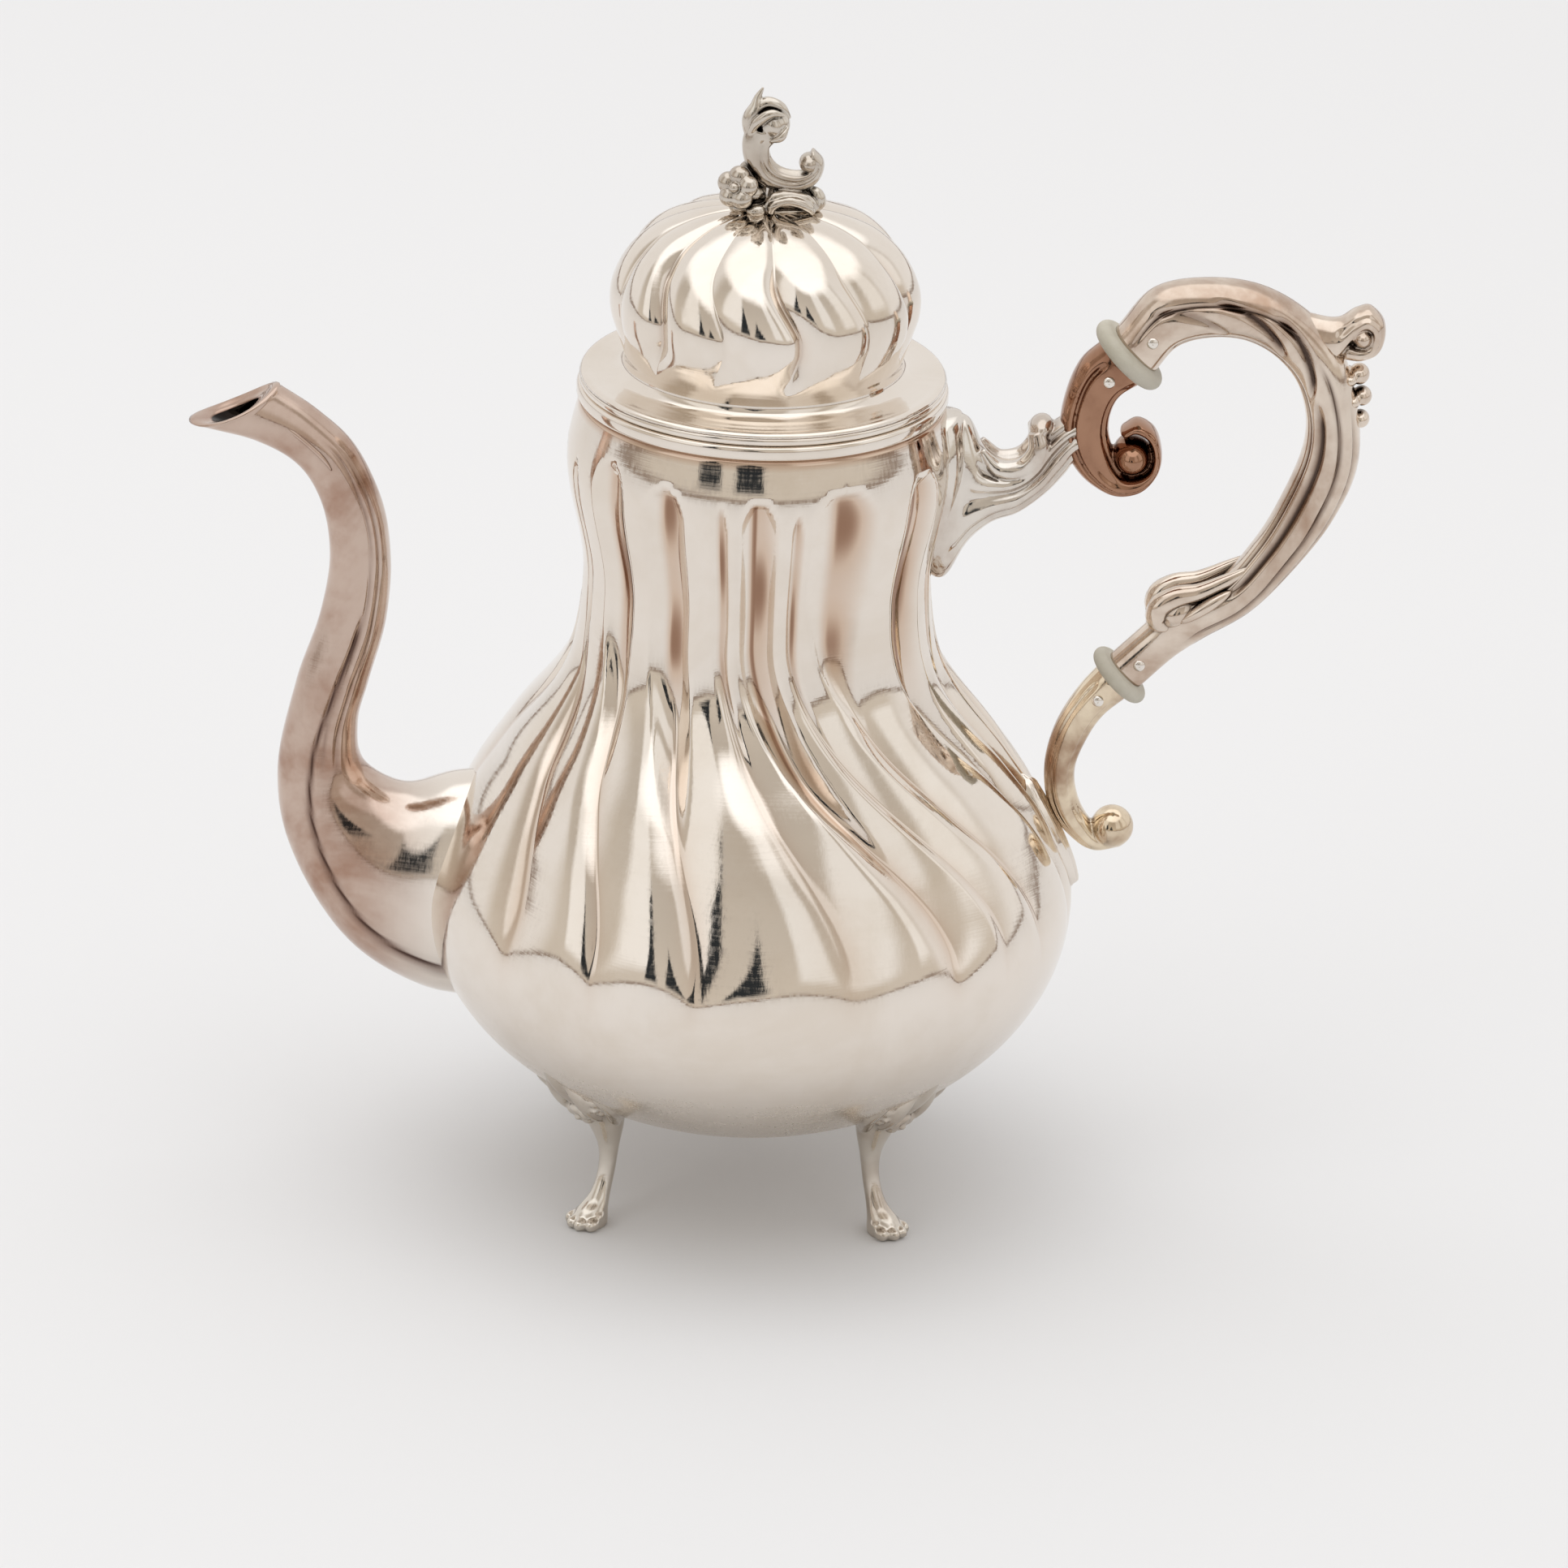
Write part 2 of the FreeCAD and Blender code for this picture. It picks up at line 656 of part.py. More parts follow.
def make_insulators():
    for which in ("upper", "lower"):
        name = which + "_insulator"
        blank = turned_ring(name + "_turning", insulator_corners(which))
        lean = FreeCAD.Rotation(Vector(0, 1, 0), size(which + "_ring_tilt"))
        blank.Placement = FreeCAD.Placement(ring_middle(which), lean)
        drills = [pin_bar(f"{name}_{joint}_drill", which, joint) for joint in ("handle", "socket")]
        drilled(name, blank, drills)


# --- The feet ---


def leg_shape():
    """A slim cabriole leg and its paw, as level rings from the floor up."""
    rings = []
    for height, distance, radial, tangential in LEG:
        rings.append(oval(Vector(distance, 0, height), Vector(radial, 0, 0), Vector(0, tangential, 0)))
    return Part.makeLoft(rings, True, False)


def make_feet():
    corners = [Vector(distance, half, 0) for distance, half in mirrored(FOOT_MOUNT)]
    leaf = leaf_on_vessel(corners, Vector(0, 0, size("belly_height")), size("mount_thickness"))
    foot = leg_shape().cut(VESSEL).fuse(leaf)
    angle = size("foot_angle")
    solid_part("foot_back_right", foot, angle)
    solid_part("foot_back_left", foot, 180 - angle)
    solid_part("foot_front_left", foot, 180 + angle)
    solid_part("foot_front_right", foot, -angle)


# --- The lid ---


FLANGE_TOP = "mouth_height + rim_band + seat_gap + edge_band + wall"
FLANGE_UNDER = "mouth_height + rim_band + seat_gap + edge_band"
RIM_TOP = "mouth_height + rim_band"


def lid_points():
    """The lid's profile from its crown to where its flat flange begins."""
    flange = bound(FLANGE_TOP)[0]
    crown = flange + size("dome_height")
    dome = size("dome_radius")
    stud = size("stud_radius") + size("stud_gap")
    widest = flange + size("dome_rise")
    collar = flange + size("collar_rise")
    return (
        (stud, crown),
        (0.28 * dome, crown - 1.3),
        (0.60 * dome, crown - 4.6),
        (0.86 * dome, crown - 10.0),
        (0.98 * dome, crown - 16.6),
        (dome, widest),
        (0.95 * dome, widest - 7.4),
        (size("collar_radius"), collar),
        (size("collar_radius") + 1.6, collar - 2.2),
        (size("collar_radius") + 4.8, flange),
    )


def lid_curve():
    return curve_through(lid_points(), (40, 0), (30, 0))


def make_lid_shell():
    outer = lid_curve()
    inner = curve_through(grown(outer, lid_points(), size("wall")), (40, 0), (30, 0))
    inner.reverse()
    flange_top = Vector(size("flange_radius"), bound(FLANGE_TOP)[0], 0)
    flange_under = Vector(size("flange_radius"), bound(FLANGE_UNDER)[0], 0)
    flange = lines_through([outer.EndPoint, flange_top, flange_under, inner.StartPoint])
    hole = lines_through([inner.EndPoint, outer.StartPoint])
    corners = ((2, ("flange_radius", FLANGE_TOP)), (3, ("flange_radius", FLANGE_UNDER)))
    keep(turned_outline("lid_turning", [outer] + flange + [inner] + hole, corners), "lid_shell")


def make_lid_rings():
    inside = "flange_radius - edge_band_width"
    seat = RIM_TOP + " + seat_gap"
    band = (
        (inside, FLANGE_UNDER),
        (inside, seat),
        ("flange_radius", seat),
        ("flange_radius", FLANGE_UNDER),
    )
    keep(turned_ring("lid_edge_turning", band), "lid_edge_band")
    plug = "rim_opening - bezel_gap"
    low = FLANGE_UNDER + " - bezel_depth"
    bezel = (
        (plug + " - wall", FLANGE_UNDER),
        (plug + " - wall", low),
        (plug, low),
        (plug, FLANGE_UNDER),
    )
    keep(turned_ring("bezel_turning", bezel), "lid_bezel")


# --- The finial and what holds it ---


CROWN = FLANGE_TOP + " + dome_height"
WASHER_TOP = CROWN + " - washer_drop"
NUT_TOP = WASHER_TOP + " - washer_thickness"
NUT_UNDER = NUT_TOP + " - nut_height"
STUD_UNDER = NUT_UNDER + " - stud_tail"


def make_stud_and_nut():
    stud_top = STUD_UNDER + " + stud_length"
    stud = (("", STUD_UNDER), ("stud_radius", STUD_UNDER), ("stud_radius", stud_top), ("", stud_top))
    keep(turned_ring("stud_turning", stud), "finial_stud")
    hole = "stud_radius + stud_gap"
    washer = (
        (hole, NUT_TOP),
        ("washer_radius", NUT_TOP),
        ("washer_radius", WASHER_TOP),
        (hole, WASHER_TOP),
    )
    keep(turned_ring("washer_turning", washer), "finial_washer")
    blank = doc.addObject("Part::Prism", "nut_blank")
    blank.Polygon = 6
    blank.setExpression("Circumradius", "Dimensions.nut_radius")
    blank.setExpression("Height", "Dimensions.nut_height")
    blank.Placement.Base = Vector(0, 0, bound(NUT_UNDER)[0])
    drill = doc.addObject("Part::Cylinder", "nut_drill")
    drill.setExpression("Radius", "Dimensions.stud_radius")
    drill.Height = 20
    drill.Placement.Base = Vector(0, 0, bound(STUD_UNDER)[0])
    nut = doc.addObject("Part::Cut", "finial_nut")
    nut.Base = blank
    nut.Tool = drill
    keep(nut, "finial_nut")


def make_finial():
    crown = bound(CROWN)[0]
    rings = []
    for rise, half_x, half_y in FINIAL_BASE:
        rings.append(oval(Vector(0, 0, crown + rise), Vector(half_x, 0, 0), Vector(0, half_y, 0)))
    finial = Part.makeLoft(rings, True, False)
    flower = ball("flower_radius", size("flower_x"), crown + size("flower_rise"), size("flower_y"))
    bud = ball("bud_radius", size("bud_x"), crown + size("bud_rise"))
    curl_end = ball("curl_ball_radius", size("curl_ball_x"), crown + size("curl_ball_rise"))
    for piece in (casting(FINIAL_SPINE), casting(FINIAL_CURL), flower, bud, curl_end):
        finial = finial.fuse(piece)
    bore = Part.makeCylinder(size("stud_radius"), size("stud_length"), Vector(0, 0, bound(STUD_UNDER)[0]))
    solid_part("finial", finial.cut(full_turn(lid_curve())).cut(bore))


def check_model():
    """Stops with the names of everything that failed to build."""
    doc.recompute()
    faults = [item.Name for item in doc.Objects if {"Invalid", "Error"} & set(item.State)]
    for part in sub_parts:
        if part.Shape.isNull() or not part.Shape.isValid() or not part.Shape.Solids:
            faults.append(part.Label)
    if faults:
        raise SystemExit("failed: " + ", ".join(faults))


def write_parts():
    os.makedirs("parts", exist_ok=True)
    for part in sub_parts:
        part.Shape.exportStep(f"parts/{part.Label}.step")
        solids = len(part.Shape.Solids)
        volume = part.Shape.Volume / 1000
        print(f"{part.Label}: {solids} solid, {volume:.2f} cm3")


make_vessel()
make_rim_band()
make_spout()
make_sockets()
make_grip()
make_pins()
make_insulators()
make_feet()
make_lid_shell()
make_lid_rings()
make_stud_and_nut()
make_finial()
check_model()
write_parts()
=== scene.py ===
import math

import bpy
import numpy as np
from mathutils import Matrix, Vector


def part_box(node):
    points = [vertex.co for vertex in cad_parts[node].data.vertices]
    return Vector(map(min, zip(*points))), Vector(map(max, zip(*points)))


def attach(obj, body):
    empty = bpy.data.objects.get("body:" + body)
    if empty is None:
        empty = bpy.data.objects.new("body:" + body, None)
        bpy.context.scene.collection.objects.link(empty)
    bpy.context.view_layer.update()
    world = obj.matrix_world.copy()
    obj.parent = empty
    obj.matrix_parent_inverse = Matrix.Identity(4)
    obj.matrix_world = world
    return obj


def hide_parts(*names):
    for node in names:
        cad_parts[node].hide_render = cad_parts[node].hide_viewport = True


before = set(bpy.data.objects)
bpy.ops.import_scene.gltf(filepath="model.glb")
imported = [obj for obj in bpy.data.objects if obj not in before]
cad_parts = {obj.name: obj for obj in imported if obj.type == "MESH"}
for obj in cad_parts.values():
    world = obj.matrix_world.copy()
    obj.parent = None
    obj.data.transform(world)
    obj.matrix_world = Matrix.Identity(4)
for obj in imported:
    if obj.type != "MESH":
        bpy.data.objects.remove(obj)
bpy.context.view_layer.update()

# The looks of a footed coffee pot of pressed and cast silver, with a loose lift-off lid.
# Outlines are in millimetres about the vessel's own upright axis, with the spout towards -X
# and the handle towards +X; place() carries them into the frame, in metres.

MM = 0.001
RIM_LOW, RIM_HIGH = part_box("rim_band")
AXIS_X = (RIM_LOW[0] + RIM_HIGH[0]) / 2
MOUTH_HEIGHT = RIM_LOW[2] / MM
RIM_TOP = RIM_HIGH[2] / MM
BELLY_RADIUS = 72.8
BELLY_HEIGHT = 69.8
BOTTOM = 17.0
WALL = 0.7
SIDES = (-1, 1)


def node_box(node):
    """The low and high corners of a CAD node, in millimetres about the vessel's axis."""
    corners = np.array([tuple(corner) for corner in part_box(node)])
    corners[:, 0] -= AXIS_X
    return corners / MM


# --- Numbers ---


def ease(share):
    """0 below 0, 1 above 1, and a smooth step between."""
    share = np.clip(share, 0.0, 1.0)
    return share * share * (3 - 2 * share)


def ramp(value, start, end):
    """A smooth step from 0 at start to 1 at end; start may be the higher of the two."""
    return ease((value - start) / (end - start))


def bump(distance, half):
    """1 in the middle of a rounded groove, and 0 from half its width on."""
    return 0.5 + 0.5 * np.cos(np.pi * np.clip(np.abs(distance) / half, 0, 1))


def smooth_rows(points, count, keys=None):
    """count rows along a smooth curve through the given rows, spaced by the length of keys' chords."""
    points = np.asarray(points, float)
    keys = points if keys is None else np.asarray(keys, float)
    knots = np.concatenate([[0.0], np.cumsum(np.linalg.norm(np.diff(keys, axis=0), axis=1))])
    slopes = np.gradient(points, knots, axis=0)
    where = np.linspace(0, knots[-1], count)
    span = np.clip(np.searchsorted(knots, where, side="right") - 1, 0, len(knots) - 2)
    step = (knots[span + 1] - knots[span])[:, None]
    part = (where[:, None] - knots[span][:, None]) / step
    rise = part * part * (3 - 2 * part)
    lead = part * (1 - part) ** 2 * step
    trail = -part * part * (1 - part) * step
    straight = points[span] * (1 - rise) + points[span + 1] * rise
    return straight + slopes[span] * lead + slopes[span + 1] * trail


def place(points):
    """Millimetres about the vessel's axis to metres in the frame."""
    moved = np.asarray(points, float) * MM
    moved[..., 0] += AXIS_X
    return moved


def ring_angles(columns):
    """Angles in degrees once round the axis, with 0 at the spout and the front positive."""
    return np.linspace(-180, 180, columns, endpoint=False)


def around(radius, height, angle):
    """Points at a radius and height, at an angle as in ring_angles."""
    turn = np.radians(angle)
    height = np.broadcast_to(height, np.broadcast(radius, turn).shape)
    return np.stack([-radius * np.cos(turn), -radius * np.sin(turn), height], axis=-1)


def pushed_in(profile, depth, angle):
    """The skin that a (radius, height) profile turns, at the given angles and a depth under the profile."""
    profile = np.maximum(profile, 0.0)
    along = np.gradient(profile, axis=0)
    normal = np.stack([along[:, 1], -along[:, 0]], axis=1)
    normal /= np.linalg.norm(normal, axis=1)[:, None]
    radius = profile[:, :1] - depth * normal[:, :1]
    height = profile[:, 1:] - depth * normal[:, 1:]
    return around(np.maximum(radius, 0.0), height, angle)


# --- Surfaces, and the meshes made of them ---


class Work:
    """Collects surfaces in millimetres, then makes one mesh of them."""

    def __init__(self):
        self.points = []
        self.faces = []
        self.shades = []

    def grid(self, rows, hollow=0.0, capped=True):
        """A surface over rows of points, closed round each row. Caps fill its first and last row."""
        height, width = rows.shape[:2]
        index = len(self.points) + np.arange(height * width).reshape(height, width)
        beside = np.roll(index, -1, axis=1)
        quads = np.stack([index[:-1], beside[:-1], beside[1:], index[1:]], axis=-1)
        self.faces += quads.reshape(-1, 4).tolist()
        self.points += rows.reshape(-1, 3).tolist()
        self.shades += np.broadcast_to(hollow, (height, width)).reshape(-1).tolist()
        if capped:
            self.cap(index[0][::-1].tolist(), rows[0])
            self.cap(index[-1].tolist(), rows[-1])
        return self

    def cap(self, ring, row):
        """Joins each point of a row to the row's middle."""
        tip = len(self.points)
        self.faces += [[before, point, tip] for before, point in zip(ring[-1:] + ring, ring)]
        self.points.append(row.mean(axis=0).tolist())
        self.shades.append(self.shades[ring[0]])

    def add(self, surfaces):
        for rows in surfaces:
            self.grid(rows)
        return self

    def mesh(self, name):
        mesh = bpy.data.meshes.new(name)
        mesh.from_pydata(place(self.points).tolist(), [], self.faces)
        hollow = mesh.attributes.new("hollow", "FLOAT", "POINT")
        hollow.data.foreach_set("value", self.shades)
        mesh.polygons.foreach_set("use_smooth", [True] * len(mesh.polygons))
        return mesh


def link(name, mesh):
    piece = bpy.data.objects.new(name, mesh)
    bpy.context.scene.collection.objects.link(piece)
    return piece


def whole(name, work):
    """One object of everything in work, as it was made."""
    return link(name, work.mesh(name))


def fused(name, work, voxel, passes):
    """One skin round everything in work, as a casting has, with its corners softened."""
    rough = whole(name + "_rough", work)
    remesh = rough.modifiers.new("one skin", "REMESH")
    remesh.mode = "VOXEL"
    remesh.voxel_size = voxel * MM
    remesh.use_smooth_shade = True
    soften = rough.modifiers.new("soften", "SMOOTH")
    soften.factor = 0.5
    soften.iterations = passes
    ready = rough.evaluated_get(bpy.context.evaluated_depsgraph_get())
    mesh = bpy.data.meshes.new_from_object(ready)
    mesh.name = name
    bpy.data.objects.remove(rough)
    mesh.polygons.foreach_set("use_smooth", [True] * len(mesh.polygons))
    return link(name, mesh)


def settle(piece, body, slot, material, *nodes):
    """Says what a piece rides on, its finish, and the nodes that it stands for."""
    piece.data.materials.clear()
    piece.data.materials.append(material)
    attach(piece, body)
    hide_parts(*nodes)


def lathe(outline, columns):
    """The surface that a closed (radius, height) outline sweeps about the axis."""
    outline = np.asarray(outline + outline[:1], float)
    return around(outline[:, :1], outline[:, 1:], ring_angles(columns))


def softened(corners, size):
    """A closed outline with each corner cut back, so that its edges catch the light."""
    soft = []
    for before, corner, after in zip(corners[-1:] + corners[:-1], corners, corners[1:] + corners[:1]):
        corner = np.array(corner, float)
        for other in (before, after):
            way = np.array(other, float) - corner
            soft.append(tuple(corner + way * min(size / np.linalg.norm(way), 0.45)))
    return soft


def ellipsoid(centre, halves, lean=0, rows=20, columns=28, lobes=0, cut=0.0):
    """A ball stretched along its axes, leaned about Y, and cut into lobes round its own upright if asked."""
    lat = np.radians(np.linspace(-90, 90, rows)[1:-1, None])
    lon = np.radians(np.linspace(0, 360, columns, endpoint=False)[None, :])
    flat = np.cos(lat)
    if lobes:
        flat = flat * (1 - cut * (1 - np.abs(np.sin(lon * lobes / 2))))
    ball = np.stack([flat * np.cos(lon), flat * np.sin(lon), np.sin(lat) + 0 * lon], axis=-1)
    spin = np.array(Matrix.Rotation(math.radians(lean), 3, "Y"))
    return (ball * np.array(halves)) @ spin.T + np.array(centre)


GROOVE_END = 0.06  # share of a sweep in which a groove runs out


def grooves(*lines):
    """Relief along a sweep. Each line: angle from the outer edge, half width in degrees, depth, start, end.

    A line whose angle is a pair moves from the one to the other.
    """

    def depth(along, angle):
        total = 0.0
        for centre, width, deep, start, end in lines:
            if isinstance(centre, tuple):
                centre = centre[0] + (centre[1] - centre[0]) * ramp(along, start, end)
            ends = ramp(along, start, start + GROOVE_END) * ramp(along, end, end - GROOVE_END)
            total = total + deep * bump(angle - centre, width) * ends
        return total

    return depth


DOME_STEPS = (22, 45, 66, 84)  # degrees up a dome at which it has a ring


def sweep(stations, rows, columns, relief, square, dome=0.0):
    """A tube through oval stations: ((edge x, z), (other edge x, z), half width along Y).

    Its rows run round from the first edge, over the front (-Y), on ovals as square as asked: 2 is a plain
    ellipse. A dome of the given height rounds its far end off. Returns the rows, and the depth of the relief
    at each point.
    """
    flat = np.array([[*first, *other, half] for first, other, half in stations], float)
    line = smooth_rows(flat, rows, (flat[:, 0:2] + flat[:, 2:4]) / 2)
    first, other, half = line[:, 0:2], line[:, 2:4], line[:, 4:]
    turn = np.linspace(0, 360, columns, endpoint=False)
    cosine, sine = np.cos(np.radians(turn)), np.sin(np.radians(turn))
    reach = np.sign(cosine) * np.abs(cosine) ** (2 / square)
    side = np.sign(sine) * np.abs(sine) ** (2 / square)
    centre = (first + other) / 2
    arm = (first - other) / 2
    depth = np.linalg.norm(arm, axis=1)[:, None]
    unit = arm / depth
    sunk = relief(np.linspace(0, 1, rows)[:, None], 180 - np.abs(180 - turn)[None, :])
    out, across = reach / depth, side / half
    scale = np.sqrt(out ** 2 + across ** 2)
    a = depth * reach - sunk * out / scale
    b = half * side - sunk * across / scale
    grid = np.stack([centre[:, :1] + unit[:, :1] * a, -b, centre[:, 1:] + unit[:, 1:] * a], axis=-1)
    if dome:
        middle = np.array([centre[-1, 0], 0, centre[-1, 1]])
        way = centre[-1] - centre[-2]
        way = np.array([way[0], 0, way[1]]) / np.linalg.norm(way)
        steps = np.radians(DOME_STEPS)[:, None, None]
        rings = middle + (grid[-1] - middle) * np.cos(steps) + way * dome * np.sin(steps)
        grid = np.concatenate([grid, rings])
        sunk = np.concatenate([sunk, np.repeat(sunk[-1:], len(rings), axis=0)])
    return grid, sunk


ROD_COLUMNS = 14
ROD_ROWS = 6  # to each point of a rod
ROD_THINNEST = 0.02
ROD_SLANT = np.array([0.13, 0.95, 0.29])  # a direction that no rod runs in


def rod(points, radii):
    """A round bar through points in space, with its own radius at each."""
    flat = np.array([[*point, radius] for point, radius in zip(points, radii)], float)
    line = smooth_rows(flat, ROD_ROWS * len(points), flat[:, :3])
    centre, radius = line[:, :3], line[:, 3]
    way = np.gradient(centre, axis=0)
    way /= np.linalg.norm(way, axis=1)[:, None]
    side = np.cross(way, ROD_SLANT)
    side /= np.linalg.norm(side, axis=1)[:, None]
    over = np.cross(way, side)
    turn = np.radians(np.linspace(0, 360, ROD_COLUMNS, endpoint=False))[None, :, None]
    rings = side[:, None] * np.cos(turn) + over[:, None] * np.sin(turn)
    return centre[:, None] + rings * np.maximum(radius, ROD_THINNEST)[:, None, None]


def rod_pair(points, radii):
    """The same rod on the front and on the back."""
    return [rod([(x, side * y, z) for x, y, z in points], radii) for side in SIDES]


# --- Materials ---


class Shader:
    """Short names for making and joining the nodes of one material or world."""

    def __init__(self, owner):
        owner.use_nodes = True
        self.tree = owner.node_tree
        self.tree.nodes.clear()

    def node(self, kind, settings=None, **inputs):
        node = self.tree.nodes.new("ShaderNode" + kind)
        for name, value in (settings or {}).items():
            setattr(node, name, value)
        for name, value in inputs.items():
            self.set(node.inputs[name.replace("_", " ")], value)
        return node

    def set(self, socket, value):
        if isinstance(value, bpy.types.NodeSocket):
            self.tree.links.new(value, socket)
        elif socket.type == "RGBA":
            socket.default_value = (*value, 1.0)
        else:
            socket.default_value = value

    def math(self, operation, first, second=0.0, clamp=False):
        node = self.node("Math", {"operation": operation, "use_clamp": clamp})
        self.set(node.inputs[0], first)
        self.set(node.inputs[1], second)
        return node.outputs[0]

    def range(self, value, low, high, to_low=0.0, to_high=1.0):
        node = self.node("MapRange", {"interpolation_type": "SMOOTHSTEP"}, Value=value)
        for name, number in (("From Min", low), ("From Max", high), ("To Min", to_low), ("To Max", to_high)):
            node.inputs[name].default_value = number
        return node.outputs[0]

    def mix(self, factor, first, second):
        node = self.node("Mix", {"data_type": "RGBA", "blend_type": "MIX"})
        self.set(node.inputs[0], factor)
        self.set(node.inputs[6], first)
        self.set(node.inputs[7], second)
        return node.outputs[2]

    def along(self, axis):
        """The place along an axis of the piece, in metres."""
        where = self.node("TexCoord").outputs["Object"]
        return self.node("SeparateXYZ", Vector=where).outputs[axis]

    def noise(self, scale, detail, rough, stretch=None, twist=0.0):
        where = self.node("TexCoord").outputs["Object"]
        if stretch:
            mapping = self.node("Mapping", Vector=where)
            mapping.inputs["Scale"].default_value = stretch
            where = mapping.outputs[0]
        node = self.node("TexNoise", Vector=where, Scale=scale, Detail=detail, Roughness=rough,
                         Distortion=twist)
        return node.outputs[0]

    def finish(self, surface, output="OutputMaterial"):
        self.tree.links.new(surface.outputs[0], self.node(output).inputs[0])


CLEAN = (0.84, 0.775, 0.705)
BROWN = (0.13, 0.08, 0.06)
# Painted shade: the black that the inside of a bore is painted.
PAINTED_BORE_SHADE = (0.012, 0.010, 0.009)
X, Z = 0, 2


def silver(name, clean, tone, toning, rough, recess, recess_share, reach, groove=None, dull_below=None,
           clean_from=None):
    """Polished silver: toned in patches, its recesses darkened with painted shade and patina, with hairlines
    and a hammered waviness.

    groove is the colour, share and deepest colour of the patina and painted light that the piece's hollow
    value carries; near 1 the hollow value paints a bore's shade black.
    dull_below is the heights between which a rougher finish fades out, and how much rougher it is.
    clean_from is the two places along X between which the colour turns to that of clean silver.
    """
    material = bpy.data.materials.new(name)
    shader = Shader(material)
    fine = shader.math("MULTIPLY", shader.noise(150, 4, 0.6), 0.25)
    patches = shader.math("ADD", shader.noise(24, 5, 0.62, twist=0.6), fine)
    share = shader.range(patches, 0.50, 0.84, 0.0, toning)
    colour = shader.mix(share, clean, tone)
    if clean_from:
        start, end = (AXIS_X + edge * MM for edge in clean_from)
        colour = shader.mix(shader.range(shader.along(X), start, end), colour, CLEAN)
    # Painted light carried by the hollow value: patina with painted shade and painted reflections in
    # grooves, then the painted black shade inside a bore.
    if groove:
        sunk = shader.node("Attribute", {"attribute_name": "hollow"}).outputs["Fac"]
        patina_and_painted_light, strength, deepest = groove
        colour = shader.mix(shader.math("MULTIPLY", sunk, strength, clamp=True), colour, patina_and_painted_light)
        colour = shader.mix(shader.range(sunk, 0.6, 0.94, 0.0, 0.85), colour, deepest)
        colour = shader.mix(shader.range(sunk, 0.96, 0.995), colour, PAINTED_BORE_SHADE)
    # Painted shade: recesses that ambient occlusion finds are darkened towards the recess colour.
    shadow = shader.node("AmbientOcclusion", {"samples": 6, "only_local": True}, Distance=reach * MM)
    painted_recess_shade = shader.range(shadow.outputs["AO"], 0.35, 0.92, recess_share, 0.0)
    colour = shader.mix(painted_recess_shade, colour, recess)
    hairlines = shader.noise(60, 2, 0.5, stretch=(1.0, 1.0, 34.0), twist=0.2)
    crossing = shader.noise(60, 2, 0.5, stretch=(30.0, 22.0, 1.5), twist=0.1)
    scratch = shader.math("MULTIPLY", hairlines, crossing)
    worn = shader.math("ADD", scratch, shader.math("MULTIPLY", share, 0.1))
    roughness = shader.range(worn, 0.16, 0.42, rough, rough + 0.10)
    if dull_below:
        low, high, extra = dull_below
        dull = shader.range(shader.along(Z), low * MM, high * MM, extra, 0.0)
        roughness = shader.math("ADD", roughness, dull)
    waviness = shader.node("Bump", Height=shader.noise(34, 1.5, 0.4), Strength=0.05, Distance=0.002)
    hair = shader.node("Bump", Height=scratch, Strength=0.03, Distance=0.0004, Normal=waviness.outputs[0])
    shader.finish(shader.node("BsdfPrincipled", Base_Color=colour, Metallic=1.0, Roughness=roughness,
                              Normal=hair.outputs[0]))
    return material


def insulator_material():
    """Matt grey-cream composition, finely pitted and a little stained."""
    material = bpy.data.materials.new("insulator")
    shader = Shader(material)
    stain = shader.range(shader.noise(90, 5, 0.6), 0.35, 0.75)
    colour = shader.mix(stain, (0.56, 0.53, 0.455), (0.45, 0.42, 0.34))
    pits = shader.node("Bump", Height=shader.noise(900, 4, 0.65), Strength=0.32, Distance=0.0004)
    shader.finish(shader.node("BsdfPrincipled", Base_Color=colour, Roughness=0.62, Normal=pits.outputs[0]))
    return material


# Each recess colour and share below sets the painted shade in that finish's recesses.
POLISHED = silver(
    "silver", CLEAN, tone=(0.76, 0.68, 0.59), toning=0.7, rough=0.045, recess=BROWN, recess_share=0.6,
    reach=1.6, groove=((0.56, 0.36, 0.23), 0.95, (0.26, 0.14, 0.09)), dull_below=(40, 66, 0.14))
BRACKET_TONED = silver(
    "bracket_silver", (0.76, 0.71, 0.65), tone=(0.50, 0.40, 0.33), toning=0.85, rough=0.06,
    recess=(0.10, 0.07, 0.06), recess_share=0.95, reach=3.0)
SPOUT_TONED = silver(
    "spout_silver", (0.60, 0.47, 0.395), tone=(0.36, 0.205, 0.14), toning=1.0, rough=0.08, recess=BROWN,
    recess_share=0.85, reach=2.2, groove=((0.16, 0.085, 0.06), 1.0, (0.06, 0.035, 0.03)),
    clean_from=(-88, -66))
GRIP_TONED = silver(
    "grip_silver", (0.77, 0.67, 0.575), tone=(0.38, 0.24, 0.16), toning=0.85, rough=0.075,
    recess=(0.06, 0.04, 0.03), recess_share=0.97, reach=3.0,
    groove=((0.20, 0.125, 0.09), 1.0, (0.05, 0.035, 0.03)))
COPPERY = silver(
    "copper_toned_silver", (0.40, 0.225, 0.145), tone=(0.20, 0.09, 0.055), toning=1.0, rough=0.06,
    recess=(0.07, 0.04, 0.03), recess_share=0.8, reach=2.2)
